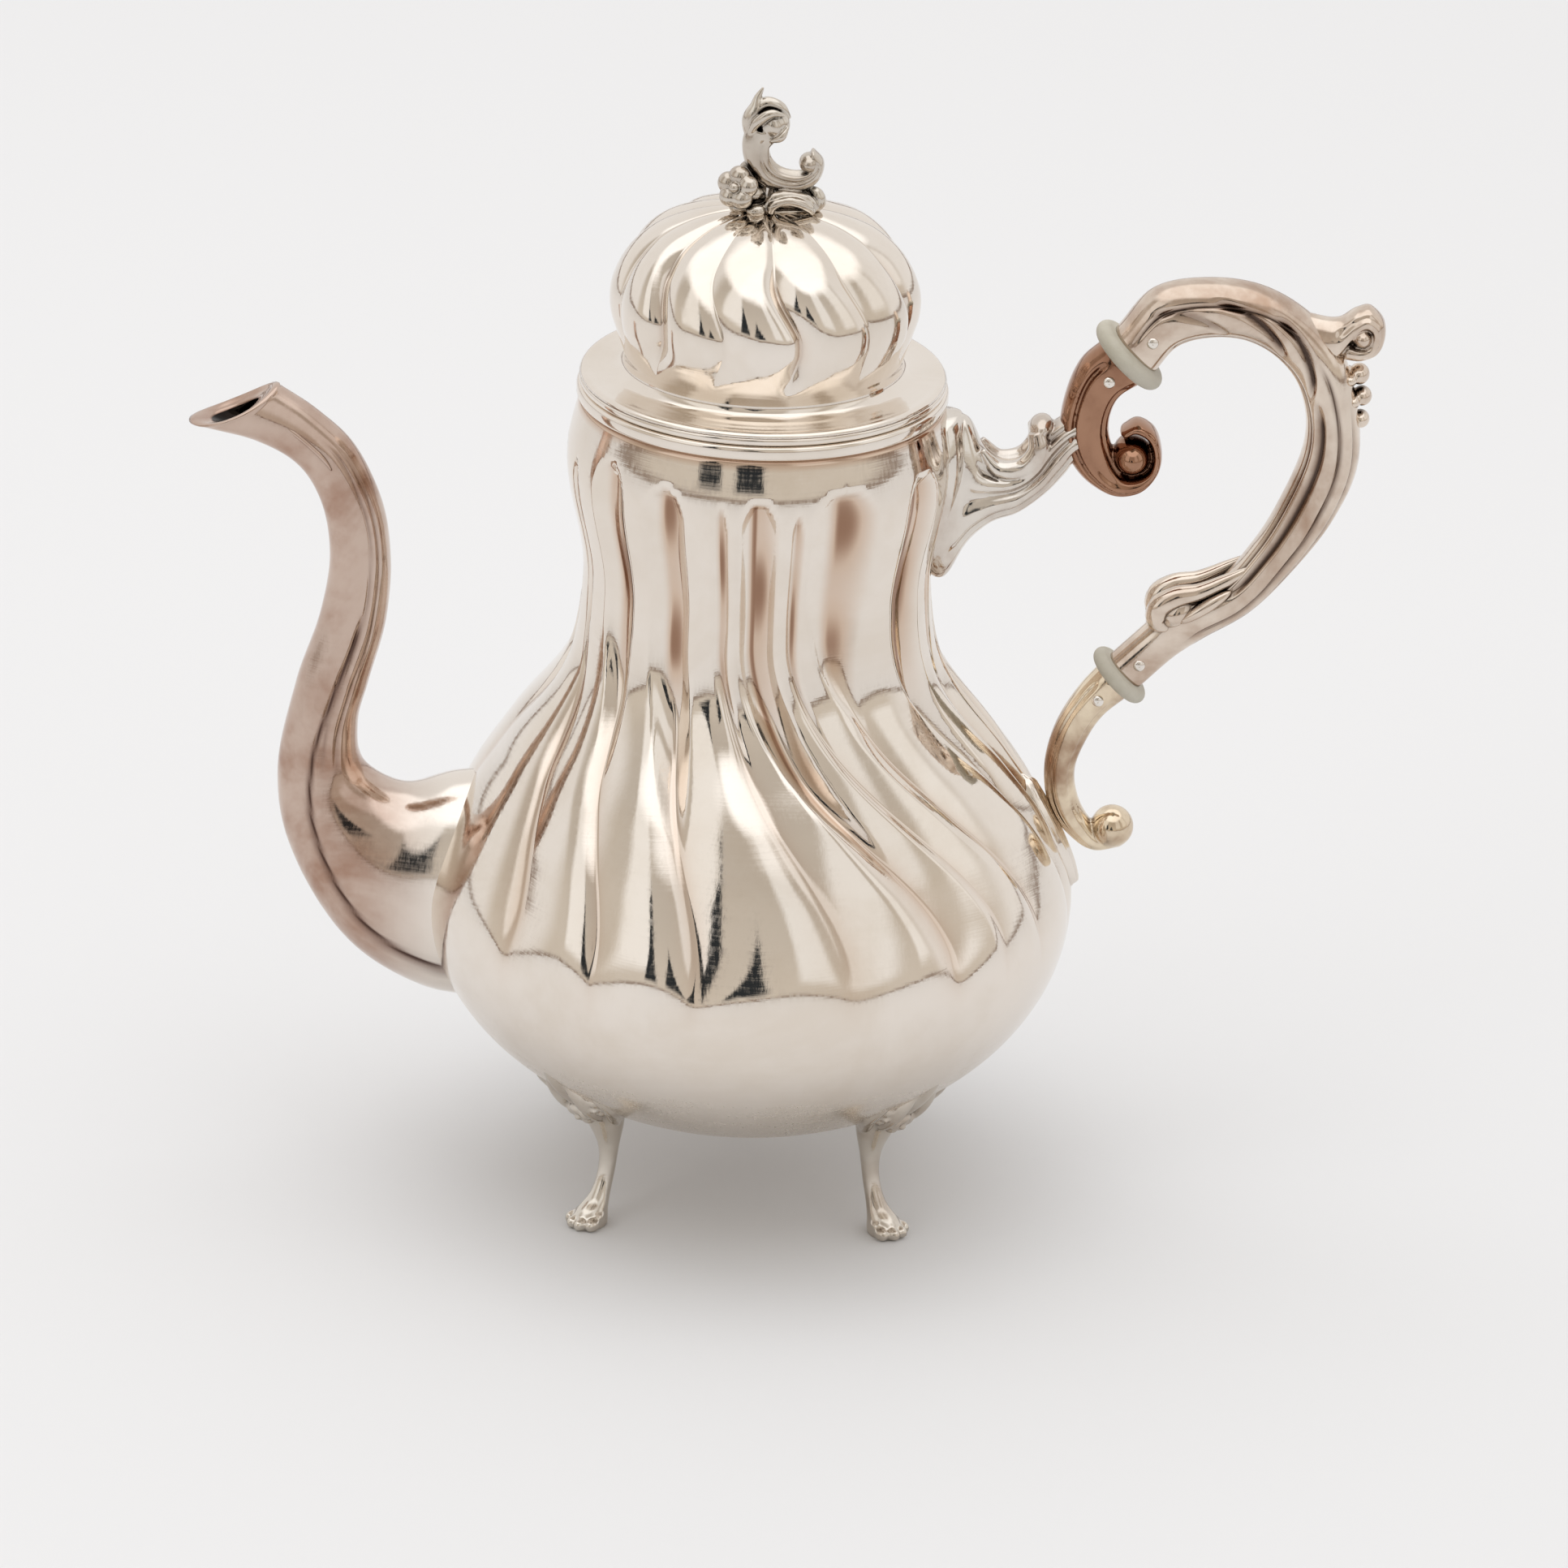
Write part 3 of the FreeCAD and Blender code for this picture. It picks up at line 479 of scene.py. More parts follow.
# A brightened gold tint painted in for a golden reflection on the lower socket.
PAINTED_GOLD_REFLECTION = silver(
    "silver_painted_gold_reflection", (0.84, 0.72, 0.55), tone=(0.30, 0.17, 0.10), toning=1.0, rough=0.06,
    recess=BROWN, recess_share=0.85, reach=2.2)
CAST = silver(
    "cast_silver", (0.70, 0.65, 0.58), tone=(0.46, 0.38, 0.31), toning=0.8, rough=0.12,
    recess=(0.035, 0.03, 0.027), recess_share=0.97, reach=1.7)
BRIGHT = silver(
    "pin_silver", (0.84, 0.80, 0.75), tone=(0.70, 0.62, 0.55), toning=0.4, rough=0.12, recess=BROWN,
    recess_share=0.5, reach=0.8)
INSULATOR = insulator_material()


# --- Vessel: flutes that fall straight down the neck, then flow towards the handle's lower root ---

# Each flute: its place round the neck in degrees, half its width, its depth, the heights of its arch and
# of its point, and how marked a crease it sends on down the belly.
FLUTES = (
    (0, 7.0, 2.0, 176, 112, 0.5),
    (19, 3.0, 1.0, 176, 120, 0.9),
    (39, 7.5, 2.5, 180, 110, 0.6),
    (61, 7.5, 2.5, 178.5, 100, 0.8),
    (79, 2.8, 1.2, 176, 114, 0.6),
    (90.5, 6.4, 2.8, 178, 96, 1.0),
    (102, 2.4, 1.1, 175, 116, 0.4),
    (117, 11.5, 2.5, 179.5, 122, 0.55),
    (148, 8.0, 2.5, 178, 98, 1.0),
    (166, 3.0, 1.1, 176, 118, 0.5),
    (180, 7.0, 2.0, 172, 112, 0.5),
)
# How far each place flows towards the handle by the foot of the belly, in degrees.
DRIFT = ((0, 0), (20, 24), (40, 23), (60, 20), (78, 30), (90, 40), (118, 38), (148, 25), (166, 13), (180, 0))
FLOW_START, FLOW_END = 143, 77  # heights between which the flutes turn aside
CREASE_REACH = 15  # degrees on either side of a crease
CREASE_DEPTH = 3.1
STEEP_SIDE, SOFT_SIDE = 5, 1.8  # powers that shape a crease towards the spout and towards the handle
VESSEL_ROWS, VESSEL_INNER_ROWS, VESSEL_COLUMNS = 168, 38, 480


def flow(angle):
    """How far a flute at this angle of the pattern flows round, in degrees."""
    line = smooth_rows(DRIFT, 181)
    return np.sign(angle) * np.interp(np.abs(angle), line[:, 0], line[:, 1])


def channel(distance, height, half, depth, top, bottom):
    """A rounded flute: an arch at its top, and a point at its bottom."""
    arch = np.sqrt(1 - (1 - np.clip((top - height) / 8, 0, 1)) ** 2)
    point = np.clip((height - bottom) / 32, 0, 1)
    width = np.maximum(half * arch * point ** 0.7, 0.01)
    across = np.clip(distance / width, 0, 1)
    return depth * np.minimum(1, 1.5 * arch) * ease(point * 1.4) * (1 - across ** 2.6) ** 1.25


def flute_relief(angle, height):
    """How deep the flutes and creases lie at an angle of their own pattern and a height, and their tint of
    patina and painted light.

    The tint is copper inside a flute, partly patina and partly a painted copper reflection, patchy on its
    way down, and warm along a crease on the belly, as a painted reflection. The most marked flutes have a
    painted dark reflection as a line down one side.
    """
    side = np.abs(angle)
    belly = ramp(height, 137, 113) * ramp(height, 62, 84)
    flute, crease, patina_and_painted_light = 0.0, 0.0, 0.0
    for middle, half, depth, top, bottom, mark in FLUTES:
        off = side - middle
        near = np.clip(1 - np.abs(off) / CREASE_REACH, 0, 1)
        one = channel(np.abs(off), height, half, depth, top, bottom)
        flute = np.maximum(flute, one)
        crease = np.maximum(crease, mark * np.where(off < 0, near ** STEEP_SIDE, near ** SOFT_SIDE))
        mottle = 0.80 - 0.20 * np.cos(np.radians(height * 11 + middle * 7))
        lee = ramp(off, -0.55 * half, -0.05 * half)
        # Copper in a flute: partly patina, partly a painted copper reflection.
        copper = 0.92 * (one / depth) ** 1.1 * ramp(height, 120, 140) * mottle * lee
        # Warm tint along a belly crease: a painted reflection.
        warm = 0.58 * belly * mark * near ** 9
        # Dark line down the most marked flutes: a painted dark reflection.
        line = ramp(mark, 0.9, 1.0) * np.clip(1.2 - np.abs(off + 1.4) / 1.8, 0, 1) * ramp(height, 104, 120)
        patina_and_painted_light = np.maximum(patina_and_painted_light, np.maximum(copper, warm))
        patina_and_painted_light = np.maximum(patina_and_painted_light, 0.92 * line * np.minimum(one, 1))
    return flute + CREASE_DEPTH * belly * crease, patina_and_painted_light


def vessel_profile(rows):
    """The vessel's outline at the crests, from the middle of its bottom to its mouth."""
    drop = BELLY_HEIGHT - BOTTOM
    lower = [(BELLY_RADIUS * math.cos(math.radians(a)), BELLY_HEIGHT + drop * math.sin(math.radians(a)))
             for a in range(-90, 1, 15)]
    upper = [(65.2, 92.0), (57.0, 105.0), (41.2, 128.0), (38.8, 147.0), (42.7, 176.0), (40.2, MOUTH_HEIGHT)]
    return smooth_rows(lower + upper, rows)


def vessel_skin(rows, inset):
    """The vessel's skin at an inset from its outside, and its tint of patina and painted light, with a
    painted shadow under the rim.
    """
    profile = vessel_profile(rows)
    height = profile[:, 1:]
    pattern = ring_angles(VESSEL_COLUMNS)[None, :]
    depth, shade = flute_relief(pattern, height)
    # Painted shadow, with some patina, dark brown just under the rim band.
    shade = np.maximum(shade, 0.9 * ramp(height, MOUTH_HEIGHT - 2.8, MOUTH_HEIGHT - 0.2))
    angle = pattern + flow(pattern) * ramp(height, FLOW_START, FLOW_END)
    return pushed_in(profile, depth + inset, angle), shade


def make_vessel():
    """One closed skin: up the outside, over the mouth and down the inside."""
    outer, shade = vessel_skin(VESSEL_ROWS, 0.0)
    inner, _ = vessel_skin(VESSEL_INNER_ROWS, WALL)
    inner = inner[:0:-1]
    shades = np.concatenate([shade[1:], np.zeros(inner.shape[:2])])
    work = Work().grid(np.concatenate([outer[1:], inner]), shades)
    settle(whole("vessel", work), "pot", "silver", POLISHED, "body_left_half", "body_right_half")


BAND_COLUMNS = 240


def moulding(name, outline, cut):
    """A band turned about the axis, its corners cut back."""
    return whole(name, Work().grid(lathe(softened(outline, cut), BAND_COLUMNS), capped=False))


def make_rim():
    foot = MOUTH_HEIGHT - 0.2
    outline = [(37.0, foot), (40.3, foot), (41.0, foot + 0.7), (41.0, RIM_TOP - 0.6), (40.4, RIM_TOP),
               (37.0, RIM_TOP)]
    settle(moulding("rim_moulding", outline, 0.3), "pot", "silver", POLISHED, "rim_band")


# --- Lid ---

FLANGE_RADIUS = 40.4
FLANGE_TOP = 193.2
CROWN = 231.6
LOBE_DEPTH = 3.3
LOBE_ANGLE = 30.0
LID_ROWS, LID_INNER_ROWS, LID_COLUMNS = 135, 70, 480


def lid_profile(rows):
    """The lid's upper outline at its crests, from the flange's edge to the crown."""
    edge = [(FLANGE_RADIUS, FLANGE_TOP - 0.6), (FLANGE_RADIUS - 0.4, FLANGE_TOP)]
    flange = [(37.5, FLANGE_TOP + 0.05), (34.5, FLANGE_TOP + 0.1), (32.2, FLANGE_TOP + 0.5),
              (30.7, FLANGE_TOP + 1.7)]
    dome = [(30.4, 196.3), (31.1, 198.6), (32.7, 203.0), (34.0, 207.5), (34.1, 212.0), (32.7, 216.6),
            (29.4, 222.0), (24.5, 226.3), (18.5, 229.0), (11.0, 230.9), (4.0, 231.5), (0.0, CROWN)]
    return smooth_rows(edge + flange + dome, rows)


def lobe_depth(angle, height):
    """Creases between the lobes of the dome, some deeper than others, which fade towards the crown."""
    side = np.abs(angle)
    signed = side % LOBE_ANGLE - LOBE_ANGLE / 2
    near = 1 - np.abs(signed) / (LOBE_ANGLE / 2)
    strong = 0.75 + 0.25 * np.cos(np.radians(6 * (side - 45)))
    share = ramp(height, 197.5, 206.5) * (1 - 0.8 * ramp(height, 222, 231))
    return LOBE_DEPTH * strong * share * np.where(signed < 0, near ** 3.2, near ** 1.9)


def lid_skin(rows, inset):
    """The lid's skin at an inset from its outside, and a tint that grows strongest where its creases are
    deepest. The creases lean as they rise.
    """
    profile = lid_profile(rows)
    height = profile[:, 1:]
    pattern = ring_angles(LID_COLUMNS)[None, :]
    depth = lobe_depth(pattern, height)
    lean = 11 * ramp(height, 210, 226) + 5 * ramp(height, 208, 198)
    angle = pattern - lean * np.sin(np.radians(pattern))
    return pushed_in(profile, depth + inset, angle), 0.4 * (depth / LOBE_DEPTH) ** 4


def make_lid():
    """One closed skin: down the inside, round the flange's edge and up the outside."""
    outer, shade = lid_skin(LID_ROWS, 0.0)
    inner, _ = lid_skin(LID_INNER_ROWS, WALL)
    inner = inner[3:-1][::-1]
    shades = np.concatenate([np.zeros(inner.shape[:2]), shade[:-1]])
    work = Work().grid(np.concatenate([inner, outer[:-1]]), shades)
    settle(whole("lid_dome", work), "lid", "silver", POLISHED, "lid_shell")


def make_lid_band():
    low, high = node_box("lid_edge_band")[:, Z]
    outline = [(38.3, low), (40.0, low), (40.5, low + 0.35), (40.5, high - 0.3), (40.0, high), (38.3, high)]
    settle(moulding("lid_edge_moulding", outline, 0.2), "lid", "silver", POLISHED, "lid_edge_band")


# --- Spout ---

SPOUT = (
    ((-60, 42), (-57, 95.5), 19),
    ((-72, 44), (-66.5, 94.2), 18.5),
    ((-87.5, 52.7), (-77, 91.3), 15.5),
    ((-97.1, 64.5), (-84.6, 94.6), 12.4),
    ((-104.2, 80.2), (-87.8, 99.5), 10),
    ((-106, 94), (-88.1, 107), 8.6),
    ((-102.2, 115.5), (-85.8, 117), 7.6),
    ((-96.8, 133), (-82.1, 132), 6.8),
    ((-94.9, 147), (-81.3, 146), 6.4),
    ((-97.2, 160), (-83.6, 160), 6.2),
    ((-103.2, 169), (-90.2, 173.2), 6),
    ((-112, 173.8), (-98, 180.5), 6.1),
    ((-125.2, 177.4), (-106.3, 186.1), 6.9),
)
SPOUT_ROWS, SPOUT_COLUMNS = 190, 72
MOUTH_SAG = 1.7
TOWARDS_TOP = np.array([-2.9, 0.0, -1.34])
# Rings from the mouth's edge into the bore: scale, how far inside the mouth, and share of TOWARDS_TOP.
LIP = ((1.035, -0.4, 0), (1.03, -0.9, 0), (0.95, -1.1, 0), (0.88, -0.9, 0), (0.80, -0.2, 0),
       (0.68, 0.3, 0.2), (0.58, 0.6, 0.4), (0.54, 1.2, 0.5), (0.52, 3.0, 0.6))
BRIGHT_RINGS = 7
BORE_SCALE = 0.55


def make_spout():
    """Swan neck with moulded lines down each side, a dished duck-bill mouth and a bore painted black as its
    shade.
    """
    relief = grooves(((52, 103), 7, 1.2, 0.0, 0.62), ((100, 118), 5, 0.5, 0.34, 0.90),
                     ((118, 132), 5, 0.45, 0.30, 0.88))
    rows, sunk = sweep(SPOUT, SPOUT_ROWS, SPOUT_COLUMNS, relief, 2.15)
    sag = MOUTH_SAG * ramp(np.linspace(0, 1, SPOUT_ROWS), 0.86, 1)[:, None]
    rows[..., 2] -= sag * (rows[..., 1] / SPOUT[-1][2]) ** 2
    mouth = rows[-1]
    middle = mouth.mean(axis=0)
    inward = rows[-8].mean(axis=0) - middle
    inward /= np.linalg.norm(inward)
    rings = [middle + TOWARDS_TOP * shift + (mouth - middle) * scale + inward * sink
             for scale, sink, shift in LIP]
    for ring in rows[-14:-60:-5]:
        rings.append(ring.mean(axis=0) + (ring - ring.mean(axis=0)) * BORE_SCALE)
    # Rings into the bore carry painted shade, black inside it.
    dark = [0.0] * BRIGHT_RINGS + [1.0] * (len(rings) - BRIGHT_RINGS)
    dark = np.repeat(np.array(dark)[:, None], SPOUT_COLUMNS, axis=1)
    # The spout's grooves get a hollow value that paints patina and painted shade in them.
    work = Work().grid(np.concatenate([rows, rings]), np.concatenate([sunk / 1.25, dark]))
    work.add(rod_pair([(-110.5, 5.0, 181.4), (-104.8, 5.4, 178.4), (-99.6, 6.0, 174.6),
                       (-95.6, 6.2, 170.6), (-94.4, 6.2, 168.8)], (0.2, 0.5, 0.5, 0.4, 0.15)))
    settle(whole("spout", work), "pot", "toned_silver", SPOUT_TONED, "spout_left_half", "spout_right_half")


# --- Handle ---

GRIP = (
    ((77.1, 205.5), (86.3, 196.6), 6.0),
    ((85, 215.1), (91, 202.5), 6.2),
    ((97.8, 217.8), (98.5, 204.9), 6.6),
    ((109.1, 216.3), (105.5, 204.5), 6.8),
    ((119.5, 210.5), (112, 201.2), 6.9),
    ((127, 202), (117, 195.5), 7),
    ((130.8, 191), (119.6, 187.6), 7),
    ((132, 178), (119.5, 179.6), 7),
    ((127.2, 163.2), (115, 166.6), 6.8),
    ((119, 151), (109.6, 156.2), 6.6),
    ((109.2, 140.1), (101.5, 146.4), 6.4),
    ((99.5, 133.6), (92.6, 142.6), 6),
    ((94.4, 129.8), (87.4, 136.8), 4.9),
    ((85.9, 121.4), (79.1, 128.2), 4.6),
)
UPPER_SOCKET = (
    ((74.3, 202.6), (83.5, 193.7), 6),
    ((69.7, 198.0), (79.0, 190.6), 5.9),
    ((66.6, 190), (76.8, 186), 5.7),
    ((65.8, 182), (76.6, 181.4), 5.5),
    ((68, 175.2), (77.6, 177.6), 5.3),
    ((72.4, 169.9), (79.0, 174.2), 5.2),
    ((78.5, 166.9), (80.8, 172.0), 5.1),
    ((84.2, 168.1), (83.4, 172.2), 5),
    ((87.9, 172.8), (85.6, 173.9), 4.9),
    ((88.4, 178), (86.2, 177.4), 4.8),
    ((86.4, 182.6), (84.9, 180.6), 4.6),
    ((82.4, 184.3), (82.2, 181.8), 4.3),
    ((79.6, 182.6), (80.8, 181.0), 4.0),
)
LOWER_SOCKET = (
    ((76.7, 125.8), (83.5, 119), 4.6),
    ((72.4, 120.4), (78.6, 114.6), 4.4),
    ((67.4, 111), (74.6, 108), 4.2),
    ((65.4, 100.7), (72.3, 100.5), 4),
    ((66.8, 92), (73.2, 94.2), 3.8),
    ((71.2, 85.2), (75.4, 89.6), 3.6),
    ((77.6, 81.4), (79.0, 85.6), 3.4),
    ((83.0, 82.4), (81.6, 85.8), 3.0),
)
THUMB = (
    ((119, 210.6), (119, 197), 5.0),
    ((126, 209.8), (125.4, 199.6), 4.8),
    ((130, 212.2), (128.5, 204), 4.7),
    ((133.2, 212.5), (131.2, 207.2), 4.6),
    ((135.9, 209.6), (132.4, 207), 4.5),
    ((136.3, 206), (132.6, 205.8), 4.4),
    ((134.6, 201.9), (131.8, 204.4), 4.2),
    ((131.2, 200.4), (130.6, 204.2), 4.1),
    ((127.5, 200.6), (128.4, 204.6), 3.9),
)
# Veins of the leaf on the grip: start and length as shares of the grip, and depth.
VEINS = ((0.05, 0.13, 0.7), (0.14, 0.16, 1.2), (0.23, 0.16, 1.2))
VEIN_HALF_WIDTH = 15


def leaf_veins(along, angle):
    """Veins of a long leaf down the side of the grip's upper arch, each curling towards the inner edge."""
    total = 0.0
    for start, length, deep in VEINS:
        way = (along - start) / length
        middle = 66 + 66 * np.clip(way, 0, 1) ** 1.5
        ends = ramp(way, 0, 0.2) * ramp(way, 1, 0.75)
        total = total + deep * bump(angle - middle, VEIN_HALF_WIDTH) * ends
    return total


def make_grip():
    """Channelled grip, with a scrolled end that laps over its lower joint."""
    lines = grooves((72, 6, 1.0, 0.0, 0.30), (148, 8, 0.8, 0.03, 0.80), (116, 15, 1.1, 0.38, 0.80),
                    ((82, 62), 7, 1.0, 0.32, 0.90), ((44, 28), 7, 0.5, 0.40, 0.90))

    def relief(along, angle):
        return lines(along, angle) + leaf_veins(along, angle)

    rows, sunk = sweep(GRIP, 260, 80, relief, 2.3)
    # The grip's grooves get a hollow value that paints them dark brown: patina with painted shade.
    work = Work().grid(rows, np.clip(sunk / 1.15, 0, 0.93))
    work.add([ellipsoid((93.6, 0, 140.2), (6.0, 6.4, 4.1), -36, 40, 48)])
    work.add(rod_pair([(111.0, 3.9, 152.6), (104.6, 3.9, 148.8), (98.0, 3.9, 145.4), (92.6, 3.9, 144.0),
                       (89.2, 3.9, 141.4), (89.0, 3.9, 138.2), (91.8, 3.9, 136.6)],
                      (0.4, 1.5, 2.1, 2.5, 2.6, 2.3, 1.0)))
    work.add(ellipsoid((99.4, side * 5.3, 142.6), (7.0, 1.9, 1.5), -35) for side in SIDES)
    settle(whole("grip", work), "pot", "toned_silver", GRIP_TONED, "handle_left_half", "handle_right_half")


def make_thumb_scroll():
    relief = grooves((60, 22, 0.5, 0.2, 0.9), (130, 16, 0.4, 0.1, 0.7))
    rows, _ = sweep(THUMB, 80, 40, relief, 2.2, dome=1.0)
    work = Work().add([rows, ellipsoid((131.2, 0, 206.2), (2.7, 5.6, 2.7))])
    settle(fused("thumb_curl", work, 0.28, 2), "pot", "toned_silver", GRIP_TONED, "thumb_scroll")


def make_drops():
    """Three drops that grow smaller downwards, each on a saddle against the grip."""
    work = Work()
    for number, (x, z) in enumerate(((131.4, 196.9), (132.3, 191.8), (132.2, 186.4))):
        size = 2.35 - 0.15 * number
        work.add([ellipsoid((x - 0.4, 0, z), (size, size * 1.3, size)),
                  ellipsoid((x - 2.4, 0, z - 0.6), (2.0, 4.6, 1.9))])
    settle(fused("drops", work, 0.22, 2), "pot", "toned_silver", GRIP_TONED, "bead_drops")


def make_upper_socket():
    relief = grooves((64, 9, 1.3, 0.02, 0.93), (138, 9, 0.8, 0.02, 0.60), (100, 20, 0.5, 0.08, 0.6))
    rows, _ = sweep(UPPER_SOCKET, 200, 64, relief, 2.3, dome=1.2)
    work = Work().add([rows, ellipsoid((81.9, 0, 176.4), (4.35, 7.2, 4.25), 20, 28, 36)])
    settle(fused("upper_scroll", work, 0.3, 2), "pot", "toned_silver", COPPERY, "upper_socket")


def make_lower_socket():
    relief = grooves((52, 12, 0.6, 0.03, 0.9), (128, 12, 0.5, 0.03, 0.8))
    rows, _ = sweep(LOWER_SOCKET, 140, 56, relief, 2.2, dome=1.5)
    work = Work().add([rows, ellipsoid((81.2, 0, 87.0), (4.8, 5.2, 4.8), 0, 28, 36)])
    settle(fused("lower_scroll", work, 0.3, 2), "pot", "toned_silver", PAINTED_GOLD_REFLECTION, "lower_socket")


LEAF_ROWS, LEAF_COLUMNS = 44, 30
LEAF_ROOT = 3.2  # how far a leaf reaches under the vessel's skin


def shield(outline, angle, thickness, ribs=0):
    """A leaf lying on the vessel: its outline gives (height, half width), and it is closed behind."""
    spine = smooth_rows(outline, LEAF_ROWS)
    height, half = spine[:, :1], np.maximum(spine[:, 1:], 0.05)
    across = np.linspace(-1, 1, LEAF_COLUMNS)[None, :]
    crest = vessel_profile(400)
    radius = np.interp(height, crest[:, 1], crest[:, 0])
    ripple = 0.35 * thickness * np.cos(across * np.pi * ribs) * (1 - across ** 2)
    rise = (thickness * (1 - np.abs(across) ** 3) + ripple) * ramp(half, 0, 0.35 * half.max())
    turn = angle + np.degrees(across * half / radius)
    front = around(radius + rise, height, turn)
    back = around(radius - LEAF_ROOT, height, turn)
    return np.concatenate([front, back[:, ::-1]], axis=1)


BRACKET = (
    ((38, 183.5), (36, 148), 7),
    ((46.2, 183), (42.4, 147.4), 7),
    ((48.8, 177.8), (45.6, 153.8), 6.9),
    ((52.0, 174.4), (50.6, 159.2), 6.5),
    ((56.2, 174.0), (57.2, 162.2), 6.1),
    ((59.8, 176.6), (63.2, 167), 5.8),
    ((62.6, 181.6), (67.4, 171.8), 5.5),
    ((66.8, 185), (70.6, 176.2), 5.2),
    ((69.5, 186.5), (73.5, 177.5), 4.8),
)
BRACKET_LEAF = ((146.2, 0.2), (149, 3.5), (155, 7), (165, 8.6), (178, 9.4), (183.4, 7), (185.6, 0.2))
LOWER_LEAF = ((72, 0.2), (75, 2.2), (80, 4.0), (88, 4.6), (94, 3.8), (98, 1.4), (99, 0.2))


def make_bracket():
    """Shell scroll that carries the upper socket: parallel ridges that flow out of a leaf on the neck."""
    relief = grooves((50, 13, 1.0, 0.22, 0.99), (86, 14, 1.2, 0.16, 0.99), (126, 12, 0.9, 0.12, 0.99))
    rows, _ = sweep(BRACKET, 130, 80, relief, 2.3)
    work = Work().add([rows, shield(BRACKET_LEAF, 180, 2.4)])
    work.add(rod_pair([(48.6, 3.6, 177.4), (53.0, 3.8, 173.0), (58.0, 3.9, 173.8), (61.2, 3.9, 178.2),
                       (60.6, 3.4, 182.0)], (0.8, 2.0, 2.3, 2.4, 2.0)))
    work.add([ellipsoid((61.6, 0, 182.2), (2.9, 5.0, 2.5), -30)])
    settle(fused("bracket_scroll", work, 0.3, 2), "pot", "silver", BRACKET_TONED, "handle_bracket")


def make_lower_leaf():
    work = Work().add([shield(LOWER_LEAF, 180, 1.5, 3)])
    settle(fused("lower_leaf", work, 0.25, 2), "pot", "silver", POLISHED, "lower_pad")


# Each insulator: its tilt towards the handle in degrees, the ring's radius, half its thickness, the radius
# of its tenons, and how far they reach from its middle.
RINGS = (
    ("upper_insulator", 44, 9.6, 2.0, 3.2, 11.0),
    ("lower_insulator", 45, 7.7, 1.7, 2.2, 9.5),
)


def tilted(points, centre, tilt):
    """Points made about an upright axis, tipped towards +X and carried to a centre."""
    turn = math.radians(tilt)
    x = points[..., 0] * math.cos(turn) + points[..., 2] * math.sin(turn)
    z = -points[..., 0] * math.sin(turn) + points[..., 2] * math.cos(turn)
    return np.stack([x, points[..., 1], z], axis=-1) + centre


def make_insulators():
    """Each ring's edge is a full round, and its tenons reach into the grip and the socket."""
    for node, tilt, radius, half, tenon, reach in RINGS:
        edge = [(radius - half + half * math.cos(math.radians(a)), half * math.sin(math.radians(a)))
                for a in range(-90, 91, 15)]
        lower = [(0.01, -reach), (tenon, -reach), (tenon, -half - 0.2)]
        outline = lower + edge + [(r, -h) for r, h in lower[::-1]]
        rows = tilted(lathe(outline, 72), node_box(node).mean(axis=0), tilt)
        work = Work().grid(rows, capped=False)
        settle(whole(node + "_ring", work), "pot", "insulator", INSULATOR, node)


def make_pins():
    """Rivet pins across the handle's joints, each with a small domed head at both ends."""
    for node in ("upper_handle_pin", "upper_socket_pin", "lower_handle_pin", "lower_socket_pin"):
        low, high = node_box(node)
        x, _, z = (low + high) / 2
        half = (high[1] - low[1]) / 2
        dome = [(1.35 * math.cos(math.radians(a)), half - 0.15 + 0.75 * math.sin(math.radians(a)))
                for a in range(0, 90, 15)]
        end = [(0.9, half - 0.9), (1.3, half - 0.8)] + dome + [(0.02, half + 0.6)]
        upright = lathe(end + [(r, -h) for r, h in end[::-1]], 28)[:, ::-1]
        grid = np.stack([upright[..., 0] + x, upright[..., 2], upright[..., 1] + z], axis=-1)
        settle(whole(node + "_rivet", Work().grid(grid, capped=False)), "pot", "silver", BRIGHT, node)


# --- Blossoms, on the feet and the finial ---

PETALS = 5


def blossom(middle, facing, size):
    """Cupped petals round a small bead, facing outwards from middle."""
    middle, facing = Vector(middle), Vector(facing).normalized()
    side = facing.cross(Vector((0, 0, 1))).normalized()
    over = side.cross(facing)
    parts = []
    for number in range(PETALS):
        spin = math.radians(360 / PETALS * number + 18)
        way = side * math.cos(spin) + over * math.sin(spin)
        basis = np.array(Matrix((way, facing.cross(way), facing)))
        petal = ellipsoid((0, 0, 0), (0.52 * size, 0.55 * size, 0.44 * size))
        parts.append(petal @ basis + np.array(middle + way * 0.60 * size))
    parts.append(ellipsoid(middle + facing * 0.38 * size, (0.26 * size,) * 3))
    parts.append(ellipsoid(middle - facing * 0.35 * size, (0.62 * size,) * 3))
    return parts


# --- Feet ---

# Rings of a leg: height, distance from the vessel's axis, half width outwards, half width across.
LEG = (
    (0.0, 46.8, 4.4, 3.5),
    (1.6, 46.8, 4.5, 3.6),
    (3.4, 46.2, 4.0, 3.2),
    (6.5, 44.0, 2.5, 2.3),
    (12, 42.0, 1.9, 2.0),
    (18, 41.5, 2.3, 2.5),
    (24, 42.6, 3.9, 4.4),
    (30, 45.0, 5.6, 6.4),
    (36, 50.5, 5.2, 8.2),
)
LEG_ROWS, LEG_COLUMNS = 60, 36
# Toes of a paw: place across, distance from the vessel's axis, size.
TOES = ((-3.3, 49.0, 1.5), (-1.15, 50.4, 1.6), (1.15, 50.4, 1.6), (3.3, 49.0, 1.5))
# Blossoms of a mount: place across, distance from the vessel's axis, height, size.
BLOSSOMS = ((-6.0, 51.4, 32.6, 3.0), (6.0, 51.4, 32.6, 3.0), (0.0, 50.2, 28.8, 3.3))


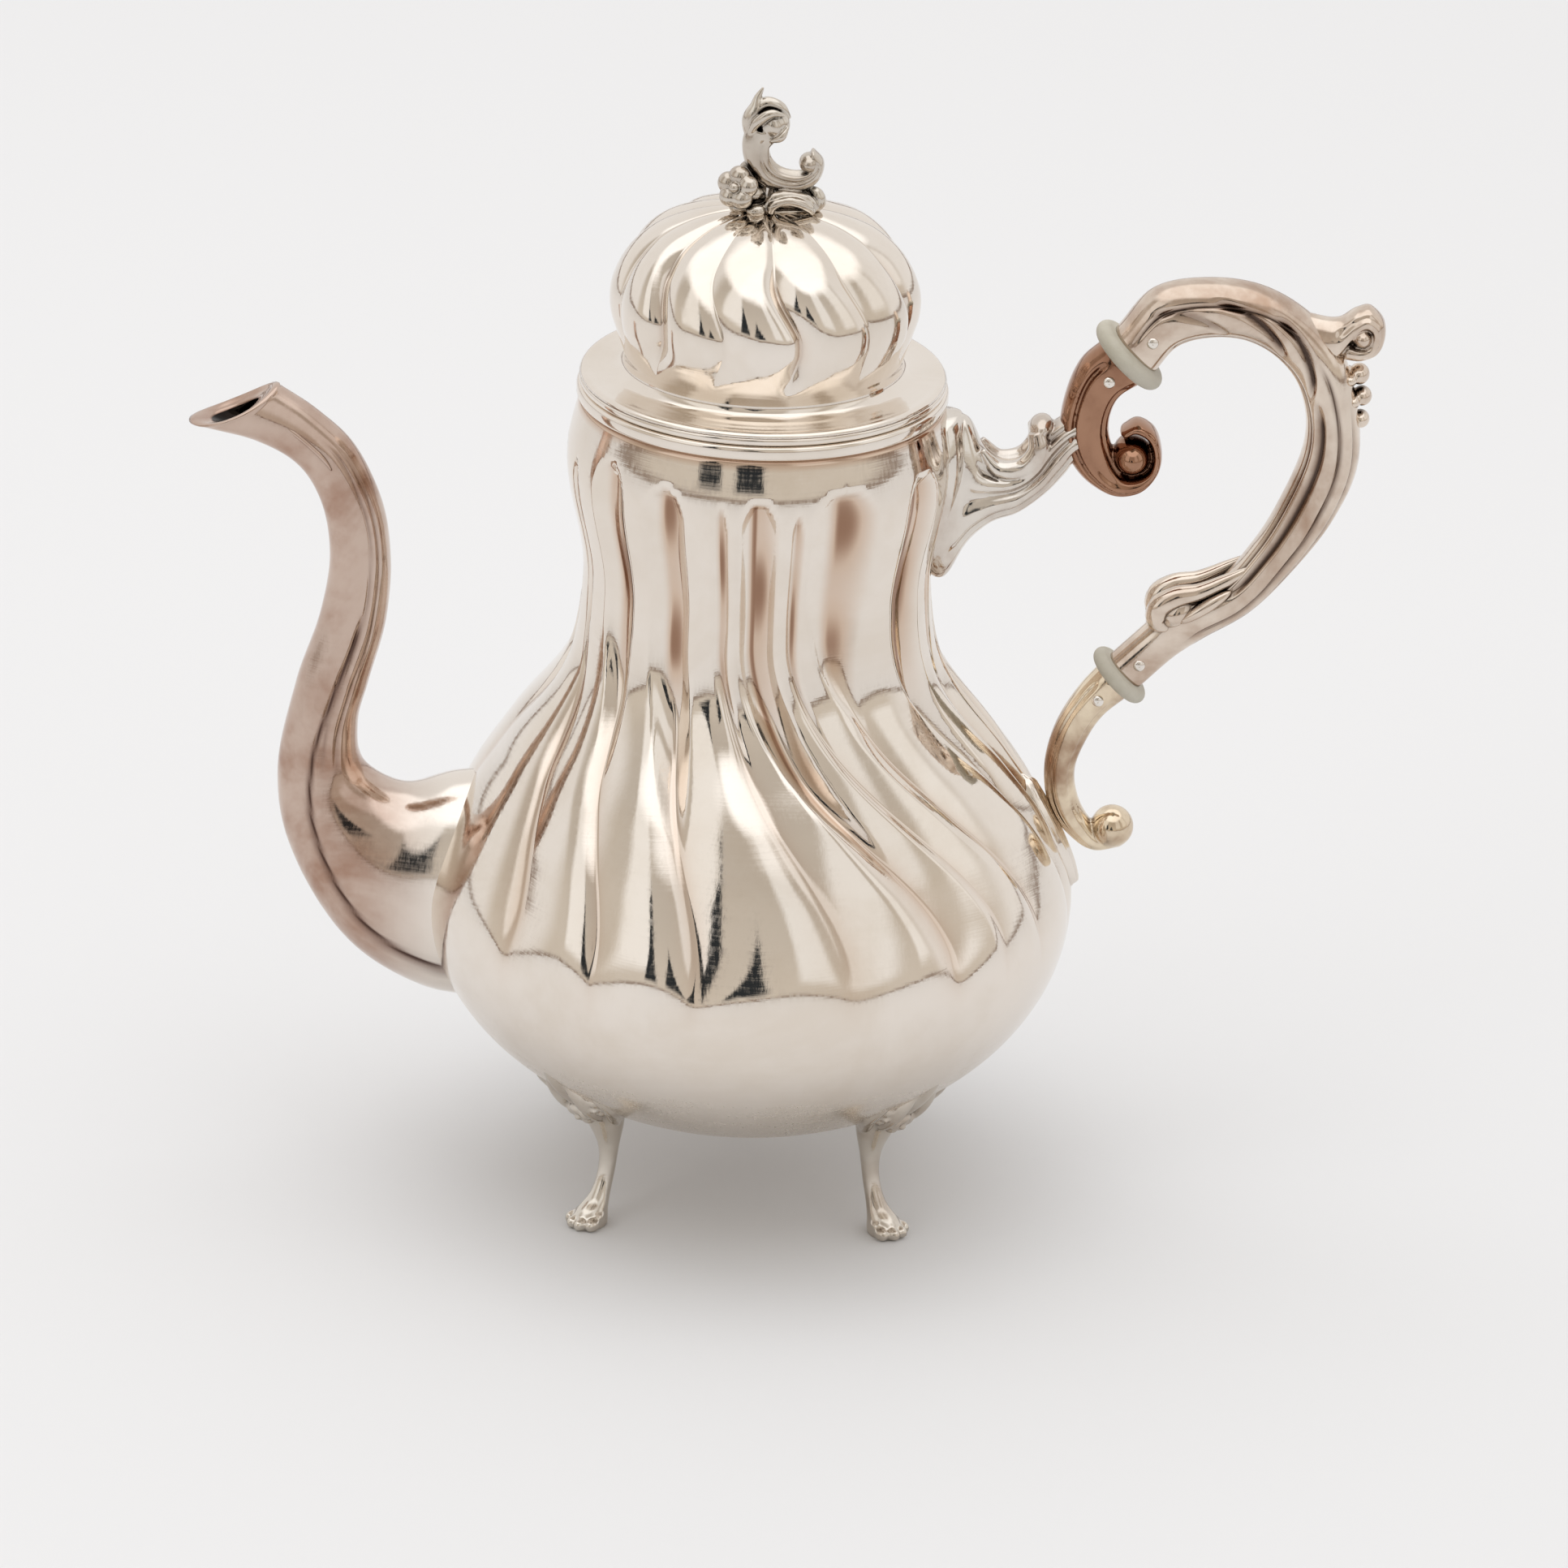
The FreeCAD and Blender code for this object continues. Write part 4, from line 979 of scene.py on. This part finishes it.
def turned(points, angle):
    """Points drawn outwards along +X, turned about the vessel's axis to stand at an angle from the spout."""
    turn = math.radians(180 + angle)
    x = points[..., 0] * math.cos(turn) - points[..., 1] * math.sin(turn)
    y = points[..., 0] * math.sin(turn) + points[..., 1] * math.cos(turn)
    return np.stack([x, y, points[..., 2]], axis=-1)


def leg_and_paw():
    rings = smooth_rows(LEG, LEG_ROWS)
    height, out, deep, wide = (rings[:, k:k + 1] for k in range(4))
    turn = np.radians(np.linspace(0, 360, LEG_COLUMNS, endpoint=False))[None, :]
    parts = [np.stack([out + deep * np.cos(turn), wide * np.sin(turn), height + 0 * turn], axis=-1)]
    for across, out, size in TOES:
        parts.append(ellipsoid((out, across, 1.45), (size * 1.35, size * 0.8, 1.45)))
        parts.append(ellipsoid((out - 2.2, across * 0.85, 2.5), (size * 1.2, size * 0.7, 1.3)))
    return parts


def leaf_mount():
    parts = rod_pair([(41, 1.2, 20), (42.6, 3.2, 25), (45.8, 6.6, 29.4), (50.5, 9.2, 33.6), (54, 8.0, 37.4),
                      (53.4, 5.6, 37.2)], (0.6, 1.3, 1.8, 2.0, 1.7, 0.9))
    parts += rod_pair([(45.6, 2.4, 26.6), (49.4, 3.6, 29.4), (54.6, 3.6, 35.2), (58.6, 2.2, 40.6)],
                      (0.8, 1.7, 1.9, 0.7))
    parts.append(rod([(50.6, 0, 31.6), (55.6, 0, 37.2), (60.4, 0, 43.4), (63.4, 0, 47.6)],
                     (1.8, 2.5, 2.0, 0.5)))
    for across, out, up, size in BLOSSOMS:
        parts += blossom((out, across, up), (0.72, across * 0.06, -0.62), size)
    return parts


def make_feet():
    """Slim cabriole legs with paws, each under a mount of leaves and blossoms soldered to the vessel."""
    for node in ("foot_front_left", "foot_front_right", "foot_back_left", "foot_back_right"):
        x, y, _ = node_box(node).mean(axis=0)
        angle = math.degrees(math.atan2(-y, -x))
        work = Work().add(turned(rows, angle) for rows in leg_and_paw() + leaf_mount())
        piece = fused(node + "_casting", work, 0.36, 2)
        for vertex in piece.data.vertices:
            vertex.co.z = max(vertex.co.z, 0.0)
        settle(piece, "pot", "cast_silver", CAST, node)


# --- Finial ---

SCROLL = (
    ((-5.2, 250.0), (2.0, 248.8), 2.8),
    ((-6.1, 246.0), (0.9, 245.8), 3.0),
    ((-5.2, 241.4), (1.0, 243.2), 3.1),
    ((-2.4, 237.4), (2.2, 241.4), 3.1),
    ((2.6, 235.2), (4.4, 240.4), 3.0),
    ((7.6, 235.6), (6.6, 240.2), 2.9),
    ((11.2, 238.6), (8.6, 240.8), 2.8),
    ((11.9, 242.4), (9.6, 242.0), 2.6),
    ((9.8, 244.9), (9.0, 242.9), 2.3),
)


def finial_top():
    """A hollowed C-scroll that ends in a bead, and a bud under a hooked hood."""
    relief = grooves((180, 58, 1.7, 0.1, 0.97), (98, 12, 0.5, 0.05, 0.95))
    scroll, _ = sweep(SCROLL, 110, 44, relief, 2.5, dome=0.8)
    parts = [scroll, ellipsoid((8.7, 0, 242.0), (2.3, 3.3, 2.2)),
             ellipsoid((0.9, 0, 250.6), (3.6, 3.7, 3.3), -20, 28, 40, lobes=6, cut=0.10),
             rod([(-4.4, 0, 247.6), (-4.3, 0, 251.4), (-3.1, 0, 254.4), (-2.9, 0, 256.6), (-1.8, 0, 258.9)],
                 (1.2, 2.0, 1.7, 0.9, 0.25)),
             rod([(-3.6, 0, 253.4), (-0.9, 0, 255.3), (2.0, 0, 254.4), (4.2, 0, 252.0)],
                 (1.5, 1.5, 1.3, 0.4))]
    parts += rod_pair([(-4.6, 1.4, 248.0), (-2.6, 2.6, 252.0), (0.4, 3.0, 254.0), (3.0, 2.4, 253.4)],
                      (0.6, 1.1, 0.9, 0.3))
    parts += rod_pair([(0.2, 2.6, 247.4), (2.4, 3.2, 248.6), (3.9, 2.6, 250.8)], (0.4, 0.9, 0.3))
    return parts


def finial_base():
    """Shell work on the crown of the lid."""
    parts = rod_pair([(0.6, 4.4, 231.6), (1.0, 4.8, 233.2), (3.4, 4.6, 234.3), (6.6, 4.2, 234.0),
                      (9.0, 3.6, 232.6), (9.8, 3.2, 231.4)], (0.8, 1.0, 1.0, 1.1, 1.1, 0.8))
    parts += rod_pair([(-0.8, 3.6, 232.4), (1.2, 3.6, 234.8), (5.0, 3.0, 235.2), (8.8, 2.4, 233.8),
                       (10.4, 1.8, 231.8)], (0.8, 1.2, 1.1, 1.3, 1.0))
    for side in SIDES:
        parts.append(ellipsoid((-2.6, side * 4.4, 232.0), (2.2, 1.7, 1.5)))
        parts.append(ellipsoid((-6.2, side * 2.6, 232.2), (2.4, 1.9, 1.6)))
    parts.append(rod([(9.0, 0, 236.0), (10.4, 0, 234.8), (11.0, 0, 232.8), (10.4, 0, 231.4)],
                     (0.8, 1.5, 1.6, 1.1)))
    for centre, halves in (((-3.6, 1.4, 234.4), (4.2, 4.0, 3.0)), ((0.8, 0, 231.6), (9.0, 4.2, 1.1)),
                           ((-4.6, 0, 238.6), (2.4, 2.6, 3.4))):
        parts.append(ellipsoid(centre, halves))
    return parts


def make_finial():
    """Cast finial: shell base, blossom, C-scroll and bud in one."""
    work = Work().add(finial_top() + blossom((-6.8, -4.0, 237.0), (-0.42, -0.86, 0.30), 4.4) + finial_base())
    settle(fused("finial_casting", work, 0.19, 1), "lid", "cast_silver", CAST, "finial")


def finish_hidden_parts():
    """The turned parts inside the lid keep their own shapes, and get bright silver."""
    for node in ("lid_bezel", "finial_stud", "finial_washer", "finial_nut"):
        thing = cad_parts[node]
        if not thing.material_slots:
            thing.data.materials.append(BRIGHT)
        for slot in thing.material_slots:
            slot.material = BRIGHT


# --- Studio, in metres ---

FLOOR_RADIUS = 6
# Soft boxes: bearing from straight ahead of the pot, half width, both in radians, and brightness.
SOFT_BOXES = ((-0.85, 0.22, 1.25), (0.62, 0.16, 1.15), (1.35, 0.14, 1.2))
# Dark openings: bearing and half width in radians, and how fast they narrow upwards.
OPENINGS = ((-0.10, 0.17, 0.45), (-0.52, 0.12, 0.22))
LENS = 232.9
CAMERA_PITCH = 22.884
CAMERA_ROLL = 1.8
CAMERA_PLACE = (AXIS_X + 0.00743, -2.09184, 0.97759)


def make_floor():
    """A plain pale floor that runs on past the picture."""
    mesh = bpy.data.meshes.new("floor")
    ring = around(FLOOR_RADIUS, 0.0, ring_angles(96))
    mesh.from_pydata(ring.tolist(), [], [list(range(len(ring)))])
    material = bpy.data.materials.new("floor")
    shader = Shader(material)
    shader.finish(shader.node("BsdfPrincipled", Base_Color=(0.755, 0.757, 0.768), Roughness=0.6,
                              Specular_IOR_Level=0.15))
    mesh.materials.append(material)
    link("floor", mesh)


def make_world():
    """A warm pale room, brighter behind and overhead, with soft boxes and dark openings in front."""
    world = bpy.data.worlds.new("studio")
    bpy.context.scene.world = world
    shader = Shader(world)
    way = shader.node("SeparateXYZ", Vector=shader.node("TexCoord").outputs["Generated"])
    x, y, z = way.outputs
    bearing = shader.math("ARCTAN2", x, shader.math("MULTIPLY", y, -1.0))
    colour = shader.mix(shader.range(z, 0.05, 0.75), (0.86, 0.79, 0.70), (0.72, 0.66, 0.585))
    for middle, half, bright in SOFT_BOXES:
        near = shader.math("ABSOLUTE", shader.math("SUBTRACT", bearing, middle))
        lit = shader.range(near, half, half + 0.16, 1.0, 0.0)
        inside = shader.math("MULTIPLY", lit, shader.range(z, 0.10, 0.22))
        colour = shader.mix(inside, colour, (bright, 0.985 * bright, 0.96 * bright))
    colour = shader.mix(shader.range(y, -0.12, 0.20), colour, (1.12, 1.10, 1.08))
    colour = shader.mix(shader.range(z, 0.70, 0.84), colour, (1.75, 1.75, 1.75))
    colour = shader.mix(shader.range(z, 0.0, 0.035, 0.85, 0.0), colour, (0.34, 0.26, 0.21))
    for middle, half, slant in OPENINGS:
        near = shader.math("ABSOLUTE", shader.math("SUBTRACT", bearing, middle))
        wedge = shader.math("ADD", near, shader.math("MULTIPLY", z, slant))
        dark = shader.range(wedge, half, half + 0.04, 1.0, 0.0)
        inside = shader.math("MULTIPLY", dark, shader.range(z, 0.04, 0.10))
        colour = shader.mix(inside, colour, (0.035, 0.04, 0.045))
    shader.finish(shader.node("Background", Color=colour, Strength=0.80), "OutputWorld")


def make_light(name, spot, size, power):
    """A square soft light that faces the pot and doesn't show in its reflections."""
    data = bpy.data.lights.new(name, "AREA")
    data.shape = "SQUARE"
    data.size = size
    data.energy = power
    light = bpy.data.objects.new(name, data)
    light.location = spot
    way = Vector((0, 0, 0.1)) - Vector(spot)
    light.rotation_euler = way.to_track_quat("-Z", "Y").to_euler()
    light.visible_glossy = False
    bpy.context.scene.collection.objects.link(light)


def make_camera():
    """Long lens, looking down on the pot a little, rolled by less than two degrees."""
    data = bpy.data.cameras.new("camera")
    data.lens = LENS
    data.sensor_width = 36
    data.clip_end = 20
    camera = bpy.data.objects.new("camera", data)
    pitch, roll = math.radians(CAMERA_PITCH), math.radians(CAMERA_ROLL)
    level = Vector((1, 0, 0))
    steep = Vector((0, math.sin(pitch), math.cos(pitch)))
    ahead = Vector((0, math.cos(pitch), -math.sin(pitch)))
    right = level * math.cos(roll) + steep * math.sin(roll)
    up = steep * math.cos(roll) - level * math.sin(roll)
    turn = Matrix((right, up, -ahead)).transposed().to_4x4()
    camera.matrix_world = Matrix.Translation(Vector(CAMERA_PLACE)) @ turn
    bpy.context.scene.collection.objects.link(camera)
    bpy.context.scene.camera = camera


make_vessel()
make_rim()
make_lid()
make_lid_band()
make_spout()
make_grip()
make_thumb_scroll()
make_drops()
make_upper_socket()
make_lower_socket()
make_bracket()
make_lower_leaf()
make_insulators()
make_pins()
make_feet()
make_finial()
finish_hidden_parts()
make_floor()
make_world()
make_light("overhead", (-0.25, 0.15, 1.3), 1.1, 2.5)
make_light("front_left", (-1.2, -1.3, 0.9), 0.7, 1)
make_camera()
bpy.context.scene.view_settings.view_transform = "Standard"
